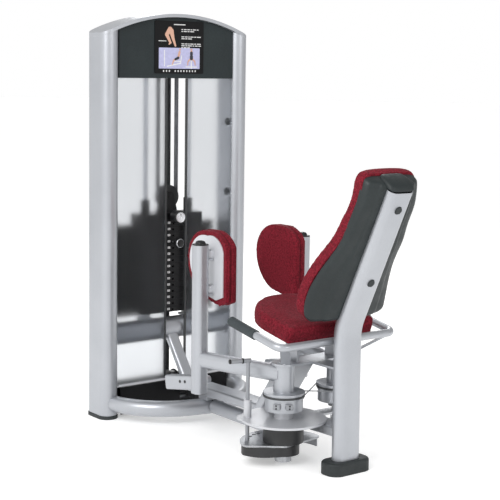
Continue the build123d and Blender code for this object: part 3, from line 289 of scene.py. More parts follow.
SILVER = coat("silver_coat", (0.475, 0.49, 0.52), (0.415, 0.43, 0.46), 0.36, 0.68)
PAD_SILVER = coat("pad_plate_coat", (0.66, 0.67, 0.70), (0.58, 0.59, 0.62), 0.42, 0.25)
IRON = coat(
    "stack_iron", (0.010, 0.010, 0.011), (0.005, 0.005, 0.006), 0.46, 0.0, (0.05, 0.05, 0.055), gloss=0.2
)
CAM_BLACK = coat("cam_black", (0.020, 0.021, 0.022), (0.010, 0.010, 0.011), 0.48, 0.0, (0.16, 0.16, 0.17))
BRIGHT = bare_steel("steel_bright", (0.82, 0.83, 0.85), (0.62, 0.63, 0.66), 0.22, (1, 1, 0.03))
GREY_STEEL = bare_steel("steel_grey", (0.50, 0.51, 0.53), (0.34, 0.35, 0.37), 0.38, (1, 1, 0.3))
DARK_SHELL = moulded("shell_plastic", (0.0155, 0.0225, 0.0235), (0.0105, 0.0155, 0.0165), 0.48)
DARK_COVER = moulded("cover_plastic", (0.010, 0.0135, 0.0135), (0.007, 0.0095, 0.0095), 0.55, gloss=0.2)
HEADER = moulded("header_plastic", (0.020, 0.028, 0.030), (0.016, 0.022, 0.024), 0.50, gloss=0.25)
LEVER = coat("lever_satin", (0.33, 0.34, 0.36), (0.26, 0.27, 0.29), 0.40, 0.35)
DISK = coat("disk_satin", (0.58, 0.59, 0.615), (0.50, 0.51, 0.535), 0.38, 0.45)
BLACK_COVER = moulded(
    "base_plastic", (0.006, 0.006, 0.007), (0.003, 0.003, 0.004), 0.45, 600, 0.15, gloss=0.2
)
PULLEY_BLACK = moulded("pulley_nylon", (0.012, 0.012, 0.013), (0.006, 0.006, 0.007), 0.36, 700, 0.1)
RUBBER = moulded("boot_rubber", (0.030, 0.036, 0.038), (0.016, 0.020, 0.021), 0.60, 380, 0.35)
GRIP = moulded("grip_rubber", (0.040, 0.050, 0.055), (0.024, 0.030, 0.033), 0.66, 300, 0.6)
BUMPER = moulded("bumper_rubber", (0.62, 0.63, 0.64), (0.50, 0.51, 0.52), 0.60, 400, 0.2, 0.1)
PLACARD = printed("placard_black", (0.0035, 0.0035, 0.0042), 0.40, 0.18)
RED = upholstery("burgundy_weave", (0.250, 0.017, 0.031), (0.100, 0.005, 0.011))
# a darker copy of the cover's weave for the piping cord and stitches: painted shade in the seam channel
SHADED_RED_THREAD = upholstery("burgundy_shaded_thread", (0.135, 0.010, 0.018), (0.060, 0.004, 0.008))
FROST = frosted("frosted_sheet")
BELT = ribbed_belt("belt_black", (0.006, 0.006, 0.007), (0.030, 0.031, 0.034))
# a paler copy of the black belt: painted light on the strands on the stack
LIT_BELT_COPY = ribbed_belt("belt_painted_light", (0.060, 0.062, 0.068), (0.150, 0.155, 0.165))
TRIM = moulded("trim_strip", (0.050, 0.052, 0.055), (0.030, 0.031, 0.033), 0.4, 900, 0.05)
INK_WHITE = printed("ink_white", (0.72, 0.72, 0.72))
INK_LAVENDER = printed("ink_lavender", (0.46, 0.46, 0.68))
INK_SKIN = printed("ink_skin", (0.62, 0.36, 0.26))
INK_DARK = printed("ink_dark", (0.02, 0.02, 0.03))

SLOT_LOOKS = {
    "frame_silver": SILVER,
    "pad_plate_silver": PAD_SILVER,
    "panel_frost": FROST,
    "cover_dark": DARK_COVER,
    "cover_black": BLACK_COVER,
    "placard_black": PLACARD,
    "stack_black": IRON,
    "steel_bright": BRIGHT,
    "steel_grey": GREY_STEEL,
    "cam_black": CAM_BLACK,
    "rubber_dark": RUBBER,
    "grip_rubber": GRIP,
    "belt_black": BELT,
    "bumper_grey": BUMPER,
    "upholstery_red": RED,
    "pulley_plastic": PULLEY_BLACK,
}
# three nodes have a finish of their own within their slot
OWN_LOOKS = {"header_panel": HEADER, "lock_rod": LEVER, "index_disk": DISK}
for subpart in frame["record"]["subparts"]:
    node = subpart["node"]
    nodes[node].data.materials.clear()
    nodes[node].data.materials.append(OWN_LOOKS.get(node) or SLOT_LOOKS[subpart["material_slot"]])


# ------------------------------ mesh helpers

def new_object(name, data):
    """An object that holds data, linked to the scene."""
    made = bpy.data.objects.new(name, data)
    bpy.context.scene.collection.objects.link(made)
    return made


def dress(piece, look, body, smooth=True):
    """Gives a piece its material, shading and body."""
    mesh = piece.data
    mesh.materials.clear()
    mesh.materials.append(look)
    for polygon in mesh.polygons:
        polygon.use_smooth = smooth
    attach(piece, body)
    return piece


def add_piece(name, bm, look, body, smooth=True, flat_angle=35):
    """Closes a bmesh into a piece that rides on body."""
    return dress(new_object(name, finish_mesh(bm, name, flat_angle)), look, body, smooth)


def frame_at(point, facing):
    """A matrix whose local Z is facing, at point."""
    z = Vector(facing).normalized()
    up = Vector((0, 1, 0)) if abs(z.z) > 0.98 else Vector((0, 0, 1))
    x = up.cross(z).normalized()
    y = z.cross(x)
    turned = Matrix((x, y, z)).transposed().to_4x4()
    return Matrix.Translation(point) @ turned


def lathe(bm, profile, place, segments):
    """Adds a turned shape: profile is (radius, height) from its bottom to its top."""
    rings = []
    for radius, height in profile:
        if radius < 1e-6:
            rings.append([bm.verts.new(place @ Vector((0, 0, height)))])
            continue
        ring = []
        for i in range(segments):
            a = 2 * math.pi * i / segments
            point = Vector((radius * math.cos(a), radius * math.sin(a), height))
            ring.append(bm.verts.new(place @ point))
        rings.append(ring)
    for low, high in zip(rings, rings[1:]):
        for i in range(segments):
            j = (i + 1) % segments
            if len(low) == 1 and len(high) == 1:
                continue
            if len(low) == 1:
                bm.faces.new((low[0], high[i], high[j]))
            elif len(high) == 1:
                bm.faces.new((low[i], high[0], low[j]))
            else:
                bm.faces.new((low[i], low[j], high[j], high[i]))


def skin(bm, rings):
    """Joins closed rings of vertices one after another, and closes both ends."""
    for low, high in zip(rings, rings[1:]):
        for i in range(len(low)):
            j = (i + 1) % len(low)
            bm.faces.new((low[i], low[j], high[j], high[i]))
    bm.faces.new(rings[0][::-1])
    bm.faces.new(rings[-1])


def slab(bm, outline, place, thick, chamfer=0.0):
    """Adds a flat plate with the given outline in place's XY, from z 0 to thick."""
    def ring(points, z):
        return [bm.verts.new(place @ Vector((x, y, z))) for x, y in points]

    n = len(outline)
    middle = (sum(x for x, y in outline) / n, sum(y for x, y in outline) / n)
    rings = [ring(outline, 0.0), ring(outline, thick - chamfer)]
    if chamfer:
        inner = []
        for x, y in outline:
            out = Vector((x - middle[0], y - middle[1]))
            length = max(out.length, 1e-6)
            share = (length - chamfer) / length
            inner.append((middle[0] + out.x * share, middle[1] + out.y * share))
        rings.append(ring(inner, thick))
    skin(bm, rings)


def rounded_rectangle(width, height, radius, steps=5):
    points = []
    for cx, cy, start in (
        (width / 2 - radius, height / 2 - radius, 0),
        (-width / 2 + radius, height / 2 - radius, 90),
        (-width / 2 + radius, -height / 2 + radius, 180),
        (width / 2 - radius, -height / 2 + radius, 270),
    ):
        for i in range(steps + 1):
            a = math.radians(start + 90 * i / steps)
            points.append((cx + radius * math.cos(a), cy + radius * math.sin(a)))
    return points


def shifted(outline, x, y):
    return [(x + u, y + v) for u, v in outline]


def capsule(start, end, r0, r1, steps=7):
    """The outline of a tapered bar with round ends."""
    s, e = Vector(start), Vector(end)
    a = math.atan2(e.y - s.y, e.x - s.x)
    points = []
    for centre, radius, first in ((e, r1, a - math.pi / 2), (s, r0, a + math.pi / 2)):
        for i in range(steps + 1):
            t = first + math.pi * i / steps
            points.append((centre.x + radius * math.cos(t), centre.y + radius * math.sin(t)))
    return points


def finish_mesh(bm, name, flat_angle=35):
    """Closes the bmesh into a mesh with outward normals and sharp creases."""
    bmesh.ops.recalc_face_normals(bm, faces=bm.faces)
    for edge in bm.edges:
        if len(edge.link_faces) == 2 and edge.calc_face_angle(0) > math.radians(flat_angle):
            edge.smooth = False
    mesh = bpy.data.meshes.new(name)
    bm.to_mesh(mesh)
    bm.free()
    return mesh


def tube_mesh(name, points, radius):
    """A round tube along a closed loop of points, as a mesh."""
    curve = bpy.data.curves.new(name, "CURVE")
    curve.dimensions = "3D"
    curve.bevel_depth = radius
    curve.bevel_resolution = 3
    spline = curve.splines.new("POLY")
    spline.points.add(len(points) - 1)
    for target, point in zip(spline.points, points):
        target.co = (*point, 1)
    spline.use_cyclic_u = True
    holder = new_object(name + "_curve", curve)
    bpy.context.view_layer.update()
    mesh = bpy.data.meshes.new_from_object(holder)
    bpy.data.objects.remove(holder)
    bpy.data.curves.remove(curve)
    mesh.name = name
    return mesh


def evaluated_mesh(obj):
    """The object's mesh with its modifiers applied."""
    bpy.context.view_layer.update()
    return bpy.data.meshes.new_from_object(obj.evaluated_get(bpy.context.evaluated_depsgraph_get()))


def copied_solid(name, node):
    """A welded copy of a CAD node's mesh, as an object not yet riding on a body."""
    bm = bmesh.new()
    bm.from_mesh(nodes[node].data)
    bmesh.ops.remove_doubles(bm, verts=bm.verts, dist=1e-5)
    mesh = bpy.data.meshes.new(name)
    bm.to_mesh(mesh)
    bm.free()
    return new_object(name, mesh)


def bake_modifiers(piece):
    """Replaces the piece's mesh with its evaluated one and drops the modifiers."""
    mesh = evaluated_mesh(piece)
    piece.modifiers.clear()
    piece.data = mesh
    return mesh


def subdivide(piece):
    """Subdivides the piece's mesh once."""
    finer = piece.modifiers.new("finer", "SUBSURF")
    finer.levels = finer.render_levels = 1
    bake_modifiers(piece)


# ------------------------------ soft goods

SEAT_TILT = math.radians(10.5)
SEAT_UP = Vector((0, -math.sin(SEAT_TILT), math.cos(SEAT_TILT)))
SHRINK, PRESSURE, CLOTH_FRAMES = 0.006, 4.0, 20
# The cloth is held where its normal is this close to the way the cushion's back faces.
HELD = 0.75
# The rounds of averaging that even out the swelling.
ROUNDS = 14
# A seam channel fades out where the cover's normal is this close to the seam plane's.
FLAT_LIMIT = 0.75


def soft_cushion(name, node, body, back, cap, voxel, rounding):
    """A padded piece grown from its CAD solid: remeshed, inflated as cloth, held flat at its back."""
    piece = copied_solid(name, node)
    remesh = piece.modifiers.new("remesh", "REMESH")
    remesh.mode = "VOXEL"
    remesh.voxel_size = voxel
    smooth = piece.modifiers.new("round", "SMOOTH")
    smooth.iterations = rounding
    smooth.factor = 0.5
    mesh = bake_modifiers(piece)
    back = Vector(back).normalized()
    normals = [v.normal.copy() for v in mesh.vertices]
    for vertex, normal in zip(mesh.vertices, normals):
        if normal.dot(back) < 0.6:
            vertex.co -= normal * SHRINK
    start = [v.co.copy() for v in mesh.vertices]
    held = piece.vertex_groups.new(name="held")
    held.add([i for i, n in enumerate(normals) if n.dot(back) > HELD], 1.0, "REPLACE")
    cloth = piece.modifiers.new("cloth", "CLOTH")
    settings = cloth.settings
    settings.quality = 5
    settings.mass = 0.25
    settings.tension_stiffness = settings.compression_stiffness = 25
    settings.bending_stiffness = 2.0
    settings.use_pressure = True
    settings.uniform_pressure_force = PRESSURE
    settings.vertex_group_mass = "held"
    settings.effector_weights.gravity = 0.0
    cloth.point_cache.frame_start = 1
    cloth.point_cache.frame_end = CLOTH_FRAMES
    for frame_number in range(1, CLOTH_FRAMES + 1):
        bpy.context.scene.frame_set(frame_number)
    mesh = bake_modifiers(piece)
    bpy.context.scene.frame_set(1)
    # the cover is taut: it keeps only the swelling along each normal, evened out over its neighbours
    swell = [
        0.0 if normal.dot(back) > HELD else min(cap, max(SHRINK * 0.9, (vertex.co - first).dot(normal)))
        for vertex, first, normal in zip(mesh.vertices, start, normals)
    ]
    neighbours = [[] for vertex in mesh.vertices]
    for edge in mesh.edges:
        a, b = edge.vertices
        neighbours[a].append(b)
        neighbours[b].append(a)
    for step in range(ROUNDS):
        swell = [
            (value + sum(swell[k] for k in near)) / (1 + len(near)) for value, near in zip(swell, neighbours)
        ]
    for vertex, first, normal, value in zip(mesh.vertices, start, normals, swell):
        vertex.co = first + normal * value
    subdivide(piece)
    piece.vertex_groups.clear()
    dress(piece, RED, body)
    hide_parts(node)
    return piece


def groove(piece, point, normal, depth, width):
    """Presses a seam channel into the sides of a cushion where a plane crosses it."""
    point, normal = Vector(point), Vector(normal).normalized()
    mesh = piece.data
    moves = []
    for vertex in mesh.vertices:
        away = (vertex.co - point).dot(normal)
        facing = abs(vertex.normal.dot(normal))
        share = math.exp(-((away / width) ** 2)) * max(0.0, 1 - facing / FLAT_LIMIT)
        moves.append(vertex.normal * depth * share)
    for vertex, move in zip(mesh.vertices, moves):
        vertex.co -= move


def section_loop(piece, point, normal, count):
    """Evenly spaced points round the cushion where a plane cuts it."""
    point, normal = Vector(point), Vector(normal).normalized()
    bm = bmesh.new()
    bm.from_mesh(piece.data)
    everything = bm.verts[:] + bm.edges[:] + bm.faces[:]
    cut = bmesh.ops.bisect_plane(bm, geom=everything, plane_co=point, plane_no=normal)
    edges = [e for e in cut["geom_cut"] if isinstance(e, bmesh.types.BMEdge)]
    neighbours = {}
    for edge in edges:
        a, b = edge.verts
        neighbours.setdefault(a, []).append(b)
        neighbours.setdefault(b, []).append(a)
    first = edges[0].verts[0]
    loop, seen, here = [first], {first}, first
    while True:
        onward = [v for v in neighbours[here] if v not in seen]
        if not onward:
            break
        here = onward[0]
        seen.add(here)
        loop.append(here)
    points = [v.co.copy() for v in loop]
    bm.free()
    lengths = [0.0]
    for a, b in zip(points, points[1:] + points[:1]):
        lengths.append(lengths[-1] + (b - a).length)
    total, made, k = lengths[-1], [], 0
    closed = points + points[:1]
    for i in range(count):
        want = total * i / count
        while lengths[k + 1] < want:
            k += 1
        share = (want - lengths[k]) / max(lengths[k + 1] - lengths[k], 1e-9)
        made.append(closed[k].lerp(closed[k + 1], share))
    return made


def seam_cord(name, piece, point, normal, radius, body, sink):
    """The covered cord that lies in a seam channel, sunk a little into it."""
    loop = section_loop(piece, point, normal, 160)
    middle = sum(loop, Vector()) / len(loop)
    smooth = []
    for i, p in enumerate(loop):
        q = (loop[i - 1] + p * 2 + loop[(i + 1) % len(loop)]) / 4
        inward = (middle - q).normalized()
        smooth.append(q + inward * sink)
    # the cord's darker weave is painted shade in the seam channel
    dress(new_object(name, tube_mesh(name, smooth, radius)), SHADED_RED_THREAD, body)


def stitches(name, piece, point, normal, body, count):
    """A row of sewn stitches that follows the seam on the cushion's skin."""
    length, radius = 0.0034, 0.00045
    loop = section_loop(piece, point, normal, count * 2)
    bm = bmesh.new()
    middle = sum(loop, Vector()) / len(loop)
    for i in range(0, len(loop), 2):
        along = (loop[(i + 1) % len(loop)] - loop[i - 1]).normalized()
        out = loop[i] - middle
        out = (out - along * out.dot(along)).normalized()
        place = frame_at(loop[i] + out * radius * 0.3 - along * length / 2, along)
        profile = ((0.0, 0.0), (radius, length * 0.12), (radius, length * 0.88), (0.0, length))
        lathe(bm, profile, place, 6)
    # the stitches' darker weave is painted shade in the seam channel
    add_piece(name, bm, SHADED_RED_THREAD, body)


for side, sign in SIDES.items():
    node = f"{side}_pad"
    pad = soft_cushion(f"{side}_pad_cover", node, node, (sign, 0, 0), 0.0095, 0.005, 5)
    seam_at = middle_of(node) + Vector((sign * 0.003, 0, 0))
    groove(pad, seam_at, (1, 0, 0), 0.0052, 0.0042)
    seam_cord(f"{side}_pad_piping", pad, seam_at, (1, 0, 0), 0.0016, node, 0.0002)
    for tag, shift in (("inner", -0.0075), ("outer", 0.0075)):
        row_at = seam_at + Vector((shift, 0, 0))
        stitches(f"{side}_pad_stitches_{tag}", pad, row_at, (1, 0, 0), node, 110)

soft_cushion("seat_cover", "seat_cushion", "frame", -SEAT_UP, 0.014, 0.006, 60)
soft_cushion("backrest_cover", "backrest_cushion", "frame", (0, -1, -0.25), 0.011, 0.006, 6)


# ------------------------------ backrest shell

# The backrest's face from the top down: height, place along Y, and half the width.
BACK_ROWS = (
    (1.0665, -1.204, 0.096), (1.050, -1.204, 0.114), (0.975, -1.189, 0.122), (0.904, -1.152, 0.128),
    (0.842, -1.120, 0.138), (0.791, -1.080, 0.150), (0.743, -1.045, 0.163), (0.681, -1.011, 0.178),
    (0.625, -0.992, 0.184), (0.583, -0.985, 0.178), (0.556, -0.977, 0.152),
)
RIM_DEPTH, FLAT_DEPTH = 0.0412, 0.064
# The pan's section: share of the half width, depth behind the face, and share of the deeper middle.
PAN_SECTION = (
    (0.940, RIM_DEPTH, 0.0), (0.975, 0.0420, 0.0), (0.992, 0.0450, 0.0), (0.996, 0.0500, 0.0),
    (0.988, 0.0550, 0.0), (0.965, 0.0590, 0.02), (0.930, 0.0615, 0.07), (0.860, 0.0630, 0.20),
    (0.760, FLAT_DEPTH, 0.34), (0.690, FLAT_DEPTH, 0.44), (0.665, 0.0655, 0.56), (0.645, 0.0665, 0.72),
    (0.520, FLAT_DEPTH, 0.90), (0.400, FLAT_DEPTH, 0.98), (0.200, FLAT_DEPTH, 1.0), (0.0, FLAT_DEPTH, 1.0),
)
# Depth runs back and down by SLOPE; the plane of the pan's back leans back by LEAN, as the post does.
SLOPE, LEAN = 0.42, 0.4908


def smooth_rows(rows, parts):
    """Catmull-Rom points between the rows, so that the pan has no steps."""
    made = []
    for i in range(len(rows) - 1):
        a, b, c, d = (Vector(rows[min(max(k, 0), len(rows) - 1)]) for k in (i - 1, i, i + 1, i + 2))
        for step in range(parts):
            t = step / parts
            made.append((
                (b * 2) + (c - a) * t + (a * 2 - b * 5 + c * 4 - d) * t**2 + (b * 3 - a - c * 3 + d) * t**3
            ) / 2)
    made.append(Vector(rows[-1]))
    return made


def pan_ring(bm, row, lip):
    """One ring of the pan, sloping down backwards; lip is under 1 where its top or bottom closes."""
    z, y, half = row
    plane_depth = (1.064 + (z - 0.540) * LEAN + y) / (1 + SLOPE * LEAN)
    deep = max(0.0, plane_depth - FLAT_DEPTH)
    # high up, the pan's rim comes forward round the sides of the cushion
    wrap = min(1.0, max(0.0, (z - 0.78) / 0.17))
    ring = []
    for sign, section in ((1, PAN_SECTION), (-1, PAN_SECTION[-2::-1])):
        for share, depth, middle in section:
            rim = 1 - min(1.0, (depth - RIM_DEPTH) / 0.018)
            d = RIM_DEPTH + (depth - RIM_DEPTH + deep * middle) * lip - 0.012 * wrap * rim
            x = sign * half * (share + 0.035 * wrap * rim) * (0.90 + 0.10 * lip)
            ring.append(bm.verts.new((x, TOWER_Y + y - d, z - d * SLOPE)))
    return ring


def backrest_pan():
    bm = bmesh.new()
    rows = smooth_rows(BACK_ROWS, 6)
    rings = []
    for index, row in enumerate(rows):
        from_end = min(index, len(rows) - 1 - index)
        rings.append(pan_ring(bm, row, math.sin(min(1.0, (from_end + 0.6) / 7) * math.pi / 2)))
    skin(bm, rings)
    pan = add_piece("backrest_pan", bm, DARK_SHELL, "frame", flat_angle=75)
    subdivide(pan)
    return pan


# The hump that covers the top of the post: its side outline as y and z, its middle and half width.
HUMP = (
    (-1.2470, 1.0040), (-1.2660, 1.0195), (-1.3165, 0.9960), (-1.3180, 1.0060), (-1.3110, 1.0215),
    (-1.2960, 1.0350), (-1.2740, 1.0475), (-1.2560, 1.0540), (-1.2470, 1.0560),
)
HUMP_MIDDLE, HUMP_HALF = (-1.276, 1.026), 0.0575


def backrest_hump():
    outline = HUMP
    for step in range(2):
        finer = []
        for i, (y, z) in enumerate(outline):
            u, v = outline[(i + 1) % len(outline)]
            finer += [(y * 0.75 + u * 0.25, z * 0.75 + v * 0.25), (y * 0.25 + u * 0.75, z * 0.25 + v * 0.75)]
        outline = finer
    bm = bmesh.new()
    middle_y, middle_z = HUMP_MIDDLE
    rings = []
    for step in range(25):
        across = math.sin(math.pi / 2 * (step / 12 - 1))
        size = max(0.05, (1 - abs(across) ** 7) ** (1 / 2.6))
        rings.append([
            bm.verts.new((
                across * HUMP_HALF,
                TOWER_Y + middle_y + (y - middle_y) * size,
                middle_z + (z - middle_z) * size,
            ))
            for y, z in outline
        ])
    skin(bm, rings)
    add_piece("backrest_hump", bm, DARK_SHELL, "frame", flat_angle=60)


pan = backrest_pan()
backrest_hump()
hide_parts("backrest_shell")


# ------------------------------ belt strands on the stack

# three flat cords side by side make the belt's ribbed face
CORDS = (-1, 0, 1)
strand_low, strand_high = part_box("lift_strands")
strand_x = strand_high.x - BELT_THICK / 2
strand_length = strand_high.z - strand_low.z
strand_half = (strand_high.y - strand_low.y) / 2
heights = [strand_low.z + strand_length * k / 60 for k in range(61)]


def cord_section(width):
    return rounded_rectangle(BELT_THICK, width, BELT_ROUND, 3)


bm = bmesh.new()
for sign in (-1, 1):
    for edge in CORDS:
        y = (strand_high.y + strand_low.y) / 2 + edge * strand_half * 0.66
        outline = shifted(cord_section(strand_half * 0.64), sign * strand_x, y)
        skin(bm, [[bm.verts.new((u, v, z)) for u, v in outline] for z in heights])
# the strands take the paler copy of the black belt, which is painted light
strands = add_piece("lift_belt", bm, LIT_BELT_COPY, "frame")
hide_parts("lift_strands")
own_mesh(strands)

# the belt's half turn under the pulley on the stack
bm = bmesh.new()
for edge in CORDS:
    rings = []
    for k in range(37):
        a = math.pi + math.pi * k / 36
        rings.append([
            bm.verts.new(middle_of("stack_pulley") + Vector((
                (strand_x + u) * math.cos(a), edge * 0.0093 + v, (strand_x + u) * math.sin(a)
            )))
            for u, v in cord_section(0.0090)
        ])
    skin(bm, rings)
add_piece("stack_belt_wrap", bm, BELT, "weight_stack")


# ------------------------------ placard graphics

placard_low, placard_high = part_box("placard")
PLACARD_PLACE = Matrix.Translation((placard_low.x, placard_low.y, placard_high.z)) @ Matrix.Rotation(
    math.pi / 2, 4, "X"
)
DECAL_SINK, DECAL_THICK = 0.00005, 0.0003


def decal(name, shapes, look, lift, step=0.0):
    """Flat shapes on the placard; outlines are in millimetres right and down from its top left."""
    bm = bmesh.new()
    for index, outline in enumerate(shapes):
        place = PLACARD_PLACE @ Matrix.Translation((0, 0, lift - DECAL_SINK + index * step))
        slab(bm, [(x / 1000, -y / 1000) for x, y in outline], place, DECAL_THICK)
    add_piece(name, bm, look, "frame", smooth=False)


picture = shifted(rounded_rectangle(198, 83, 1.5, 2), 118, 148)
decal("placard_picture", [picture], INK_LAVENDER, 0.0)

# rows of short dashes stand in for the instructions
DASHES = (13, 7, 16, 10, 19, 8, 14)
dashes = []
for block, rows in ((33, 2), (62, 2), (90, 3)):
    for row in range(rows):
        x, k = 127.0, block + row * 3
        while x < (214 if row < rows - 1 else 170):
            length = DASHES[k % len(DASHES)]
            dashes.append(shifted(rounded_rectangle(length, 3.4, 1.2, 2), x + length / 2, block + row * 7.5))
            x += length + 3.2
            k += 1
# a row of blocks under the picture, with one gap
dashes += [shifted(rounded_rectangle(5.2, 7.2, 1.0, 2), 42.0 + 14 * k, 199) for k in range(12) if k != 3]
dashes.append(shifted(rounded_rectangle(56, 3.6, 1.6, 3), 118, 14))
dashes.append(shifted(rounded_rectangle(38, 2.6, 1.0, 2), 36, 80))
decal("placard_lines", dashes, INK_WHITE, 0.0)

# a pair of bent legs, drawn as plain rounded bars
legs = [
    capsule((72, 34), (56, 54), 11, 8),
    capsule((56, 54), (74, 86), 8, 5),
    capsule((74, 86), (68, 92), 4, 3),
    capsule((78, 40), (86, 68), 11, 7),
    capsule((86, 68), (98, 98), 7, 4),
]
decal("placard_legs", legs, INK_SKIN, 0.0, 0.00005)

# two small figures on a machine, one from the side and one from the front
bodies = [
    capsule((118, 124), (112, 146), 5.5, 5),
    capsule((112, 148), (90, 156), 4.5, 3.5),
    capsule((90, 156), (84, 172), 3.5, 2.6),
    capsule((176, 122), (176, 146), 6, 5.5),
    capsule((174, 148), (160, 160), 4.2, 3.2),
    capsule((178, 148), (193, 160), 4.2, 3.2),
    capsule((160, 160), (158, 174), 3.0, 2.4),
    capsule((193, 160), (195, 174), 3.0, 2.4),
    shifted(rounded_rectangle(9, 9, 4.4, 4), 120, 113),
    shifted(rounded_rectangle(9, 9, 4.4, 4), 176, 112),
]
decal("placard_figures", bodies, INK_SKIN, 0.0003, 0.00003)
clothes = [
    capsule((112, 146), (98, 152), 5.4, 4.6),
    capsule((176, 140), (176, 148), 7.5, 7.5),
    capsule((176, 126), (176, 132), 6.6, 6.6),
]
decal("placard_clothes", clothes, INK_DARK, 0.0007, 0.00003)
machine = [
    shifted(rounded_rectangle(4, 66, 1.5, 2), 46, 148),
    capsule((60, 180), (124, 168), 2.2, 2.2),
    capsule((124, 168), (128, 138), 2.2, 2.2),
    shifted(rounded_rectangle(30, 3.5, 1.5, 2), 108, 160),
    shifted(rounded_rectangle(5, 40, 1.5, 2), 176, 170),
    capsule((150, 182), (202, 182), 2.0, 2.0),
]
decal("placard_machine", machine, INK_WHITE, 0.0001, 0.00002)


# ------------------------------ tower details

for side, sign in SIDES.items():
    low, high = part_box(f"{side}_front_panel")
    slot_x = high.x if sign < 0 else low.x
    # a channel strip grips the sheet's edge along the slot
    wall, wide, deep = 0.0016, 0.0075, (high.y - low.y) + 0.0024
    outline = [
        (0, 0), (wide, 0), (wide, wall), (wall, wall),
        (wall, deep - wall), (wide, deep - wall), (wide, deep), (0, deep),
    ]
    points = [(slot_x - sign * (wall * 0.9) + sign * u, low.y - 0.0012 + v) for u, v in outline]
    bm = bmesh.new()
    skin(bm, [[bm.verts.new((x, y, z)) for x, y in points] for z in (low.z + 0.001, high.z - 0.0005)])
    add_piece(f"{side}_slot_trim", bm, TRIM, "frame", smooth=False)
    # a folded rail holds the sheet's lower edge
    bm = bmesh.new()
    centre_x = sign * (PANEL_OUTER + PANEL_INNER) / 2
    place = Matrix.Translation((centre_x, low.y - 0.0016, low.z + 0.0045)) @ Matrix(
        ((1, 0, 0, 0), (0, 0, 1, 0), (0, 1, 0, 0), (0, 0, 0, 1))
    )
    outline = rounded_rectangle(PANEL_OUTER - PANEL_INNER - 0.004, 0.009, 0.0015, 3)
    slab(bm, outline, place, 0.0014, 0.0004)
    add_piece(f"{side}_lower_rail", bm, PAD_SILVER, "frame")

# number tags on the weight plates, placed from the bottom up and numbered from the top down
PITCH = 0.0254
PLATES, SELECTED = 15, 4
FONT_HIGH = 0.0082
TAG_X = -0.021


def number_mesh(bm, text, centre):
    """Adds the digits of text, facing the seat, centred at centre."""
    curve = bpy.data.curves.new("digits", "FONT")
    curve.body = text
    curve.size = FONT_HIGH
    curve.extrude = 0.00012
    curve.align_x = curve.align_y = "CENTER"
    holder = new_object("digits", curve)
    holder.matrix_world = Matrix.Translation(centre) @ Matrix.Rotation(math.pi / 2, 4, "X")
    mesh = evaluated_mesh(holder)
    mesh.transform(holder.matrix_world)
    bm.from_mesh(mesh)
    bpy.data.objects.remove(holder)
    bpy.data.curves.remove(curve)
    bpy.data.meshes.remove(mesh)


for tag, first, count, body in (
    ("resting", 0, PLATES - SELECTED, "frame"),
    ("selected", PLATES - SELECTED, SELECTED, "weight_stack"),
):
    tags, digits = bmesh.new(), bmesh.new()
    for index in range(first, first + count):
        z = STACK_LOW.z + (index + 0.5) * PITCH - 0.0005
        place = frame_at(Vector((TAG_X, STACK_LOW.y + 0.00005, z)), (0, -1, 0))
        slab(tags, rounded_rectangle(0.0130, 0.0090, 0.0012, 3), place, 0.0005, 0.0002)
        number_mesh(digits, str(PLATES - index), Vector((TAG_X, STACK_LOW.y - 0.0005, z)))
    add_piece(f"{tag}_tags", tags, INK_WHITE, body, smooth=False)
    add_piece(f"{tag}_digits", digits, INK_DARK, body, smooth=False)


def knurl(bm, facing, count, radius, start, section, length, chamfer):
    """Adds ribs round a turned knob, each a rounded bar along its axis."""
    for k in range(count):
        turn = Matrix.Rotation(2 * math.pi * k / count, 4, "Z")
        place = facing @ turn @ Matrix.Translation((radius, 0, start))
        slab(bm, rounded_rectangle(*section, 2), place, length, chamfer)


# the dial's plated cap, its pointer and its grip
bm = bmesh.new()
facing = frame_at(front_of("increment_dial") + Vector((0, 0.0005, 0)), (0, -1, 0))
profile = (
    (0.0, -0.001), (0.0205, -0.001), (0.0212, 0.0006), (0.0205, 0.0018), (0.0170, 0.0022),
    (0.0165, 0.0014), (0.0060, 0.0014), (0.0050, 0.0024), (0.0, 0.0026),
)
lathe(bm, profile, facing, 48)
add_piece("dial_cap", bm, BRIGHT, "increment_dial")
bm = bmesh.new()
pointer = shifted(rounded_rectangle(0.003, 0.0085, 0.0012, 3), 0, 0.0112)
slab(bm, pointer, facing @ Matrix.Translation((0, 0, 0.0012)), 0.0009, 0.0003)
knurl(bm, facing, 24, 0.0268, -0.030, (0.0014, 0.0034, 0.0006), 0.026, 0.0004)
add_piece("dial_grip", bm, PULLEY_BLACK, "increment_dial")

# the knob of the pin
facing = frame_at(front_of("selector_pin"), (0, -1, 0))
bm = bmesh.new()
profile = (
    (0.0, -0.026), (0.0194, -0.0235), (0.0200, -0.020), (0.0200, -0.008), (0.0185, -0.003),
    (0.0150, 0.0002), (0.0100, 0.0010), (0.0, 0.0012),
)
lathe(bm, profile, facing, 40)
knurl(bm, facing, 12, 0.0196, -0.020, (0.002, 0.0036, 0.0008), 0.013, 0.0006)
add_piece("pin_knob", bm, PULLEY_BLACK, "selector_pin")


def screw(bm, point, facing_dir, radius, height):
    """Adds a button head with a round socket."""
    profile = (
        (0.0, -0.0004), (radius, -0.0004), (radius, height * 0.25), (radius * 0.86, height * 0.72),
        (radius * 0.55, height), (radius * 0.42, height), (radius * 0.40, height * 0.35),
        (0.0, height * 0.30),
    )
    lathe(bm, profile, frame_at(Vector(point), facing_dir), 20)


# screws along the top and bottom of the rear cover
rear_low, rear_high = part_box("rear_cover")
bm = bmesh.new()
for x in (-0.250, 0.0, 0.250):
    for z in (rear_low.z + 0.022, rear_high.z - 0.022):
        screw(bm, (x, rear_high.y - 0.0006, z), (0, 1, 0), 0.0055, 0.003)
add_piece("rear_cover_screws", bm, GREY_STEEL, "frame")

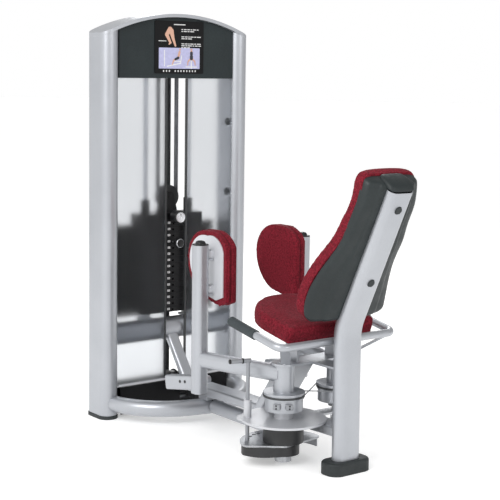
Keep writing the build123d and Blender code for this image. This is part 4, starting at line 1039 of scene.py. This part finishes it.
# raised ribs stiffen the back of the lower cover
bm = bmesh.new()
for k in range(7):
    z = rear_low.z + 0.070 + k * 0.040
    place = frame_at(Vector((0, rear_high.y - 0.0012, z)), (0, 1, 0))
    slab(bm, rounded_rectangle(0.440, 0.012, 0.006, 6), place, 0.0018, 0.0007)
add_piece("rear_cover_ribs", bm, DARK_COVER, "frame")


# ------------------------------ arms, hubs and posts

# A plug with a small dome closes the top of the upright: share of the post's width, and height.
CAP_RINGS = (
    (0.84, -0.020), (0.84, 0.0002), (0.99, 0.0004), (1.0, 0.0022), (0.95, 0.0042), (0.66, 0.0050),
    (0.62, 0.0085), (0.55, 0.0125), (0.42, 0.0155), (0.24, 0.0172), (0.10, 0.0176),
)
# The foot rest's screws: distance from the post along Y, and height.
FOOT_SCREWS = ((0.066, 0.231), (0.098, 0.2255))
# The band in the drum's upper groove: depth inside the drum's radius, and height.
BAND = (
    (0.0045, 0.2442), (0.0012, 0.2446), (0.0004, 0.2456), (0.0004, 0.2514), (0.0012, 0.2524),
    (0.0045, 0.2528), (0.0045, 0.2442),
)
CLAMP_TURNS, CLAMP_HEIGHT = (212, 246), 0.222

for side, sign in SIDES.items():
    arm, post_x = f"{side}_arm", sign * POST_X
    bm = bmesh.new()
    rings = []
    for share, z in CAP_RINGS:
        outline = rounded_rectangle(POST_WIDE * share, POST_WIDE * share, 0.020 * share, 6)
        rings.append([bm.verts.new((post_x + u, POST_Y + v, POST_TOP + z)) for u, v in outline])
    skin(bm, rings)
    add_piece(f"{side}_post_cap", bm, PULLEY_BLACK, arm, flat_angle=60)

    # plug at the lower end of the upright
    bm = bmesh.new()
    outline = shifted(rounded_rectangle(0.052, 0.052, 0.018, 6), post_x, POST_Y)
    slab(bm, outline, Matrix.Translation((0, 0, POST_FOOT)), 0.003, 0.001)
    add_piece(f"{side}_post_plug", bm, PULLEY_BLACK, arm)

    bm = bmesh.new()
    for away, z in FOOT_SCREWS:
        screw(bm, (sign * (POST_X + 0.0185), POST_Y + away, z), (sign, 0, 0), 0.0060, 0.0035)
    add_piece(f"{side}_foot_screws", bm, TRIM, arm)

    bm = bmesh.new()
    hub = Vector((sign * HUB_X, HUB_Y, 0))
    lathe(bm, [(DRUM_RADIUS - inside, z) for inside, z in BAND], Matrix.Translation(hub), 72)
    add_piece(f"{side}_drum_band", bm, TRIM, arm)

    # two clamps hold the ends of the link cables against the drum
    bm, heads = bmesh.new(), bmesh.new()
    for turn in CLAMP_TURNS:
        a = math.radians(turn if sign < 0 else 180 - turn)
        out = Vector((math.cos(a), math.sin(a), 0))
        place = frame_at(hub + out * (DRUM_RADIUS - 0.008) + Vector((0, 0, CLAMP_HEIGHT)), out)
        slab(bm, rounded_rectangle(0.026, 0.020, 0.003, 3), place, 0.015, 0.0018)
        for lift in (-0.005, 0.005):
            point = hub + out * (DRUM_RADIUS + 0.007) + Vector((0, 0, CLAMP_HEIGHT + lift))
            screw(heads, point - out * 0.0002, out, 0.0034, 0.0026)
    add_piece(f"{side}_cable_clamps", bm, LEVER, arm)
    add_piece(f"{side}_clamp_screws", heads, TRIM, arm)

# a black sleeve round the spacer drum under the index disk
spacer_low, spacer_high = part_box("cam_plate")
bm = bmesh.new()
sleeve = (
    (0.0701, spacer_low.z + 0.0064), (0.0718, spacer_low.z + 0.0066), (0.0722, spacer_low.z + 0.0090),
    (0.0722, spacer_high.z - 0.0040), (0.0716, spacer_high.z - 0.0012), (0.0701, spacer_high.z - 0.0008),
    (0.0701, spacer_low.z + 0.0064),
)
lathe(bm, sleeve, Matrix.Translation((-HUB_X, HUB_Y, 0)), 72)
add_piece("spacer_sleeve", bm, CAM_BLACK, "cam")

# The cam under its plate: a rubber lobe on one side and a curved steel guard on the other.
LOBE = ((0, 0.058), (70, 0.058), (92, 0.149), (158, 0.149), (205, 0.072), (230, 0.058), (360, 0.058))
GUARD_INSIDE, GUARD_OUTSIDE = 0.1462, 0.1500
cam_low, cam_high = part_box("belt_cam")


def lobe_radius(angle):
    """The lobe's radius at an angle in degrees, between the rows of LOBE."""
    for (first, near), (last, far) in zip(LOBE, LOBE[1:]):
        if angle <= last:
            return near + (far - near) * (angle - first) / (last - first)


def cam_slab(pairs):
    """A level plate as thick as the cam, with its outline in pairs of an angle in degrees and a radius."""
    bm = bmesh.new()
    outline = [(r * math.cos(math.radians(a)), r * math.sin(math.radians(a))) for a, r in pairs]
    slab(bm, outline, Matrix.Translation((-HUB_X, HUB_Y, cam_low.z)), cam_high.z - cam_low.z)
    return bm


turns = range(0, 360, 4)
lobe = add_piece("cam_lobe", cam_slab([(a, lobe_radius(a)) for a in turns]), CAM_BLACK, "cam")
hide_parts("belt_cam")
turns = range(-4, 97, 4)
guard = [(a, GUARD_OUTSIDE) for a in turns] + [(a, GUARD_INSIDE) for a in reversed(turns)]
add_piece("cam_guard", cam_slab(guard), LEVER, "cam")

# the locking lever's cap and collar
lever_low, lever_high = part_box("lock_rod")
lever_tip = Vector((lever_low.x + 0.0024, lever_high.y - 0.0078, lever_high.z - 0.008))
lever_way = Vector((-66, 20, 0)).normalized()
bm = bmesh.new()
cap = (
    (0.0, -0.0040), (0.0080, -0.0040), (0.0085, -0.0032), (0.0085, 0.0006), (0.0076, 0.0022),
    (0.0054, 0.0032), (0.0, 0.0036),
)
lathe(bm, cap, frame_at(lever_tip, lever_way), 32)
collar = (
    (0.0080, -0.0026), (0.0096, -0.0024), (0.0100, 0.0), (0.0096, 0.0024), (0.0080, 0.0026),
    (0.0080, -0.0026),
)
lathe(bm, collar, frame_at(lever_tip - lever_way * 0.048, lever_way), 32)
add_piece("lever_cap", bm, PULLEY_BLACK, "lock_rod")


# ------------------------------ floor, light and camera

def pale_floor():
    bm = bmesh.new()
    reach, rows = 60.0, 40
    steps = [-reach + 2 * reach * i / rows for i in range(rows + 1)]
    grid = [[bm.verts.new((x, y, -0.0005)) for x in steps] for y in steps]
    for a, b in zip(grid, grid[1:]):
        for i in range(rows):
            bm.faces.new((a[i], a[i + 1], b[i + 1], b[i]))
    mesh = finish_mesh(bm, "floor")
    look = Look("floor_pale", rough=0.8, Specular_IOR_Level=0.1, Emission_Strength=0.34)
    look.shader.inputs["Emission Color"].default_value = (1, 1, 1, 1)
    look.colour(look.ramp(look.noise(0.6, 3), (0.3, (0.86, 0.86, 0.855)), (0.7, (0.88, 0.88, 0.875))))
    mesh.materials.append(look.material)
    new_object("floor", mesh)


pale_floor()


def studio():
    """A room that is brighter on the camera's left; what lies straight behind the object stays white."""
    world = bpy.data.worlds.new("studio")
    bpy.context.scene.world = world
    world.use_nodes = True
    room = Nodes(world.node_tree)
    parts = room.node("ShaderNodeSeparateXYZ")
    room.link(room.node("ShaderNodeTexCoord").outputs["Generated"], parts.inputs[0])
    shade = room.node("ShaderNodeMapRange")
    for socket, value in (("From Min", -1.0), ("From Max", 1.0), ("To Min", 1.12), ("To Max", 0.42)):
        shade.inputs[socket].default_value = value
    room.link(parts.outputs["X"], shade.inputs["Value"])
    path = room.node("ShaderNodeLightPath").outputs
    straight = room.maths("MAXIMUM", path["Is Camera Ray"], path["Is Transmission Ray"])
    background = world.node_tree.nodes["Background"]
    background.inputs["Color"].default_value = (1.0, 1.0, 1.0, 1)
    room.link(room.maths("MAXIMUM", shade.outputs["Result"], straight), background.inputs["Strength"])


studio()


def soft_light(name, place, target, size, power):
    data = bpy.data.lights.new(name, "AREA")
    data.shape = "RECTANGLE"
    data.size, data.size_y = size
    data.energy = power
    light = new_object(name, data)
    light.location = place
    light.rotation_mode = "QUATERNION"
    light.rotation_quaternion = (Vector(target) - Vector(place)).to_track_quat("-Z", "Y")


soft_light("key", (-4.2, -1.6, 3.4), (0, 0, 0.8), (2.4, 2.4), 130)
soft_light("fill", (1.2, -5.0, 2.6), (0, 0, 0.7), (3.0, 2.0), 40)
soft_light("rim", (2.6, 3.4, 3.0), (0, 0.3, 1.0), (2.0, 2.0), 60)

# The camera stands behind the seat, to its left, and looks slightly down.
CAMERA_PLACE = (-2.9966, -3.8170, 1.3914)
YAW, PITCH_DOWN, ROLL = (math.radians(a) for a in (37.488, 5.683, 0.741))
FOCAL_PIXELS, FRAME_PIXELS = 1314.9, 500
forward = Vector((
    math.sin(YAW) * math.cos(PITCH_DOWN), math.cos(YAW) * math.cos(PITCH_DOWN), -math.sin(PITCH_DOWN)
))
level = Vector((math.cos(YAW), -math.sin(YAW), 0))
upward = level.cross(forward)
camera_x = level * math.cos(ROLL) + upward * math.sin(ROLL)
camera_y = upward * math.cos(ROLL) - level * math.sin(ROLL)
camera_data = bpy.data.cameras.new("camera")
camera_data.sensor_width = 36
camera_data.lens = FOCAL_PIXELS / FRAME_PIXELS * camera_data.sensor_width
camera_data.shift_y = -0.1
camera_data.clip_start, camera_data.clip_end = 0.05, 60
camera = new_object("camera", camera_data)
turned = Matrix((camera_x, camera_y, -forward)).transposed().to_4x4()
camera.matrix_world = Matrix.Translation(CAMERA_PLACE) @ turned
bpy.context.scene.camera = camera
bpy.context.scene.view_settings.view_transform = "Standard"
bpy.context.scene.view_settings.look = "None"
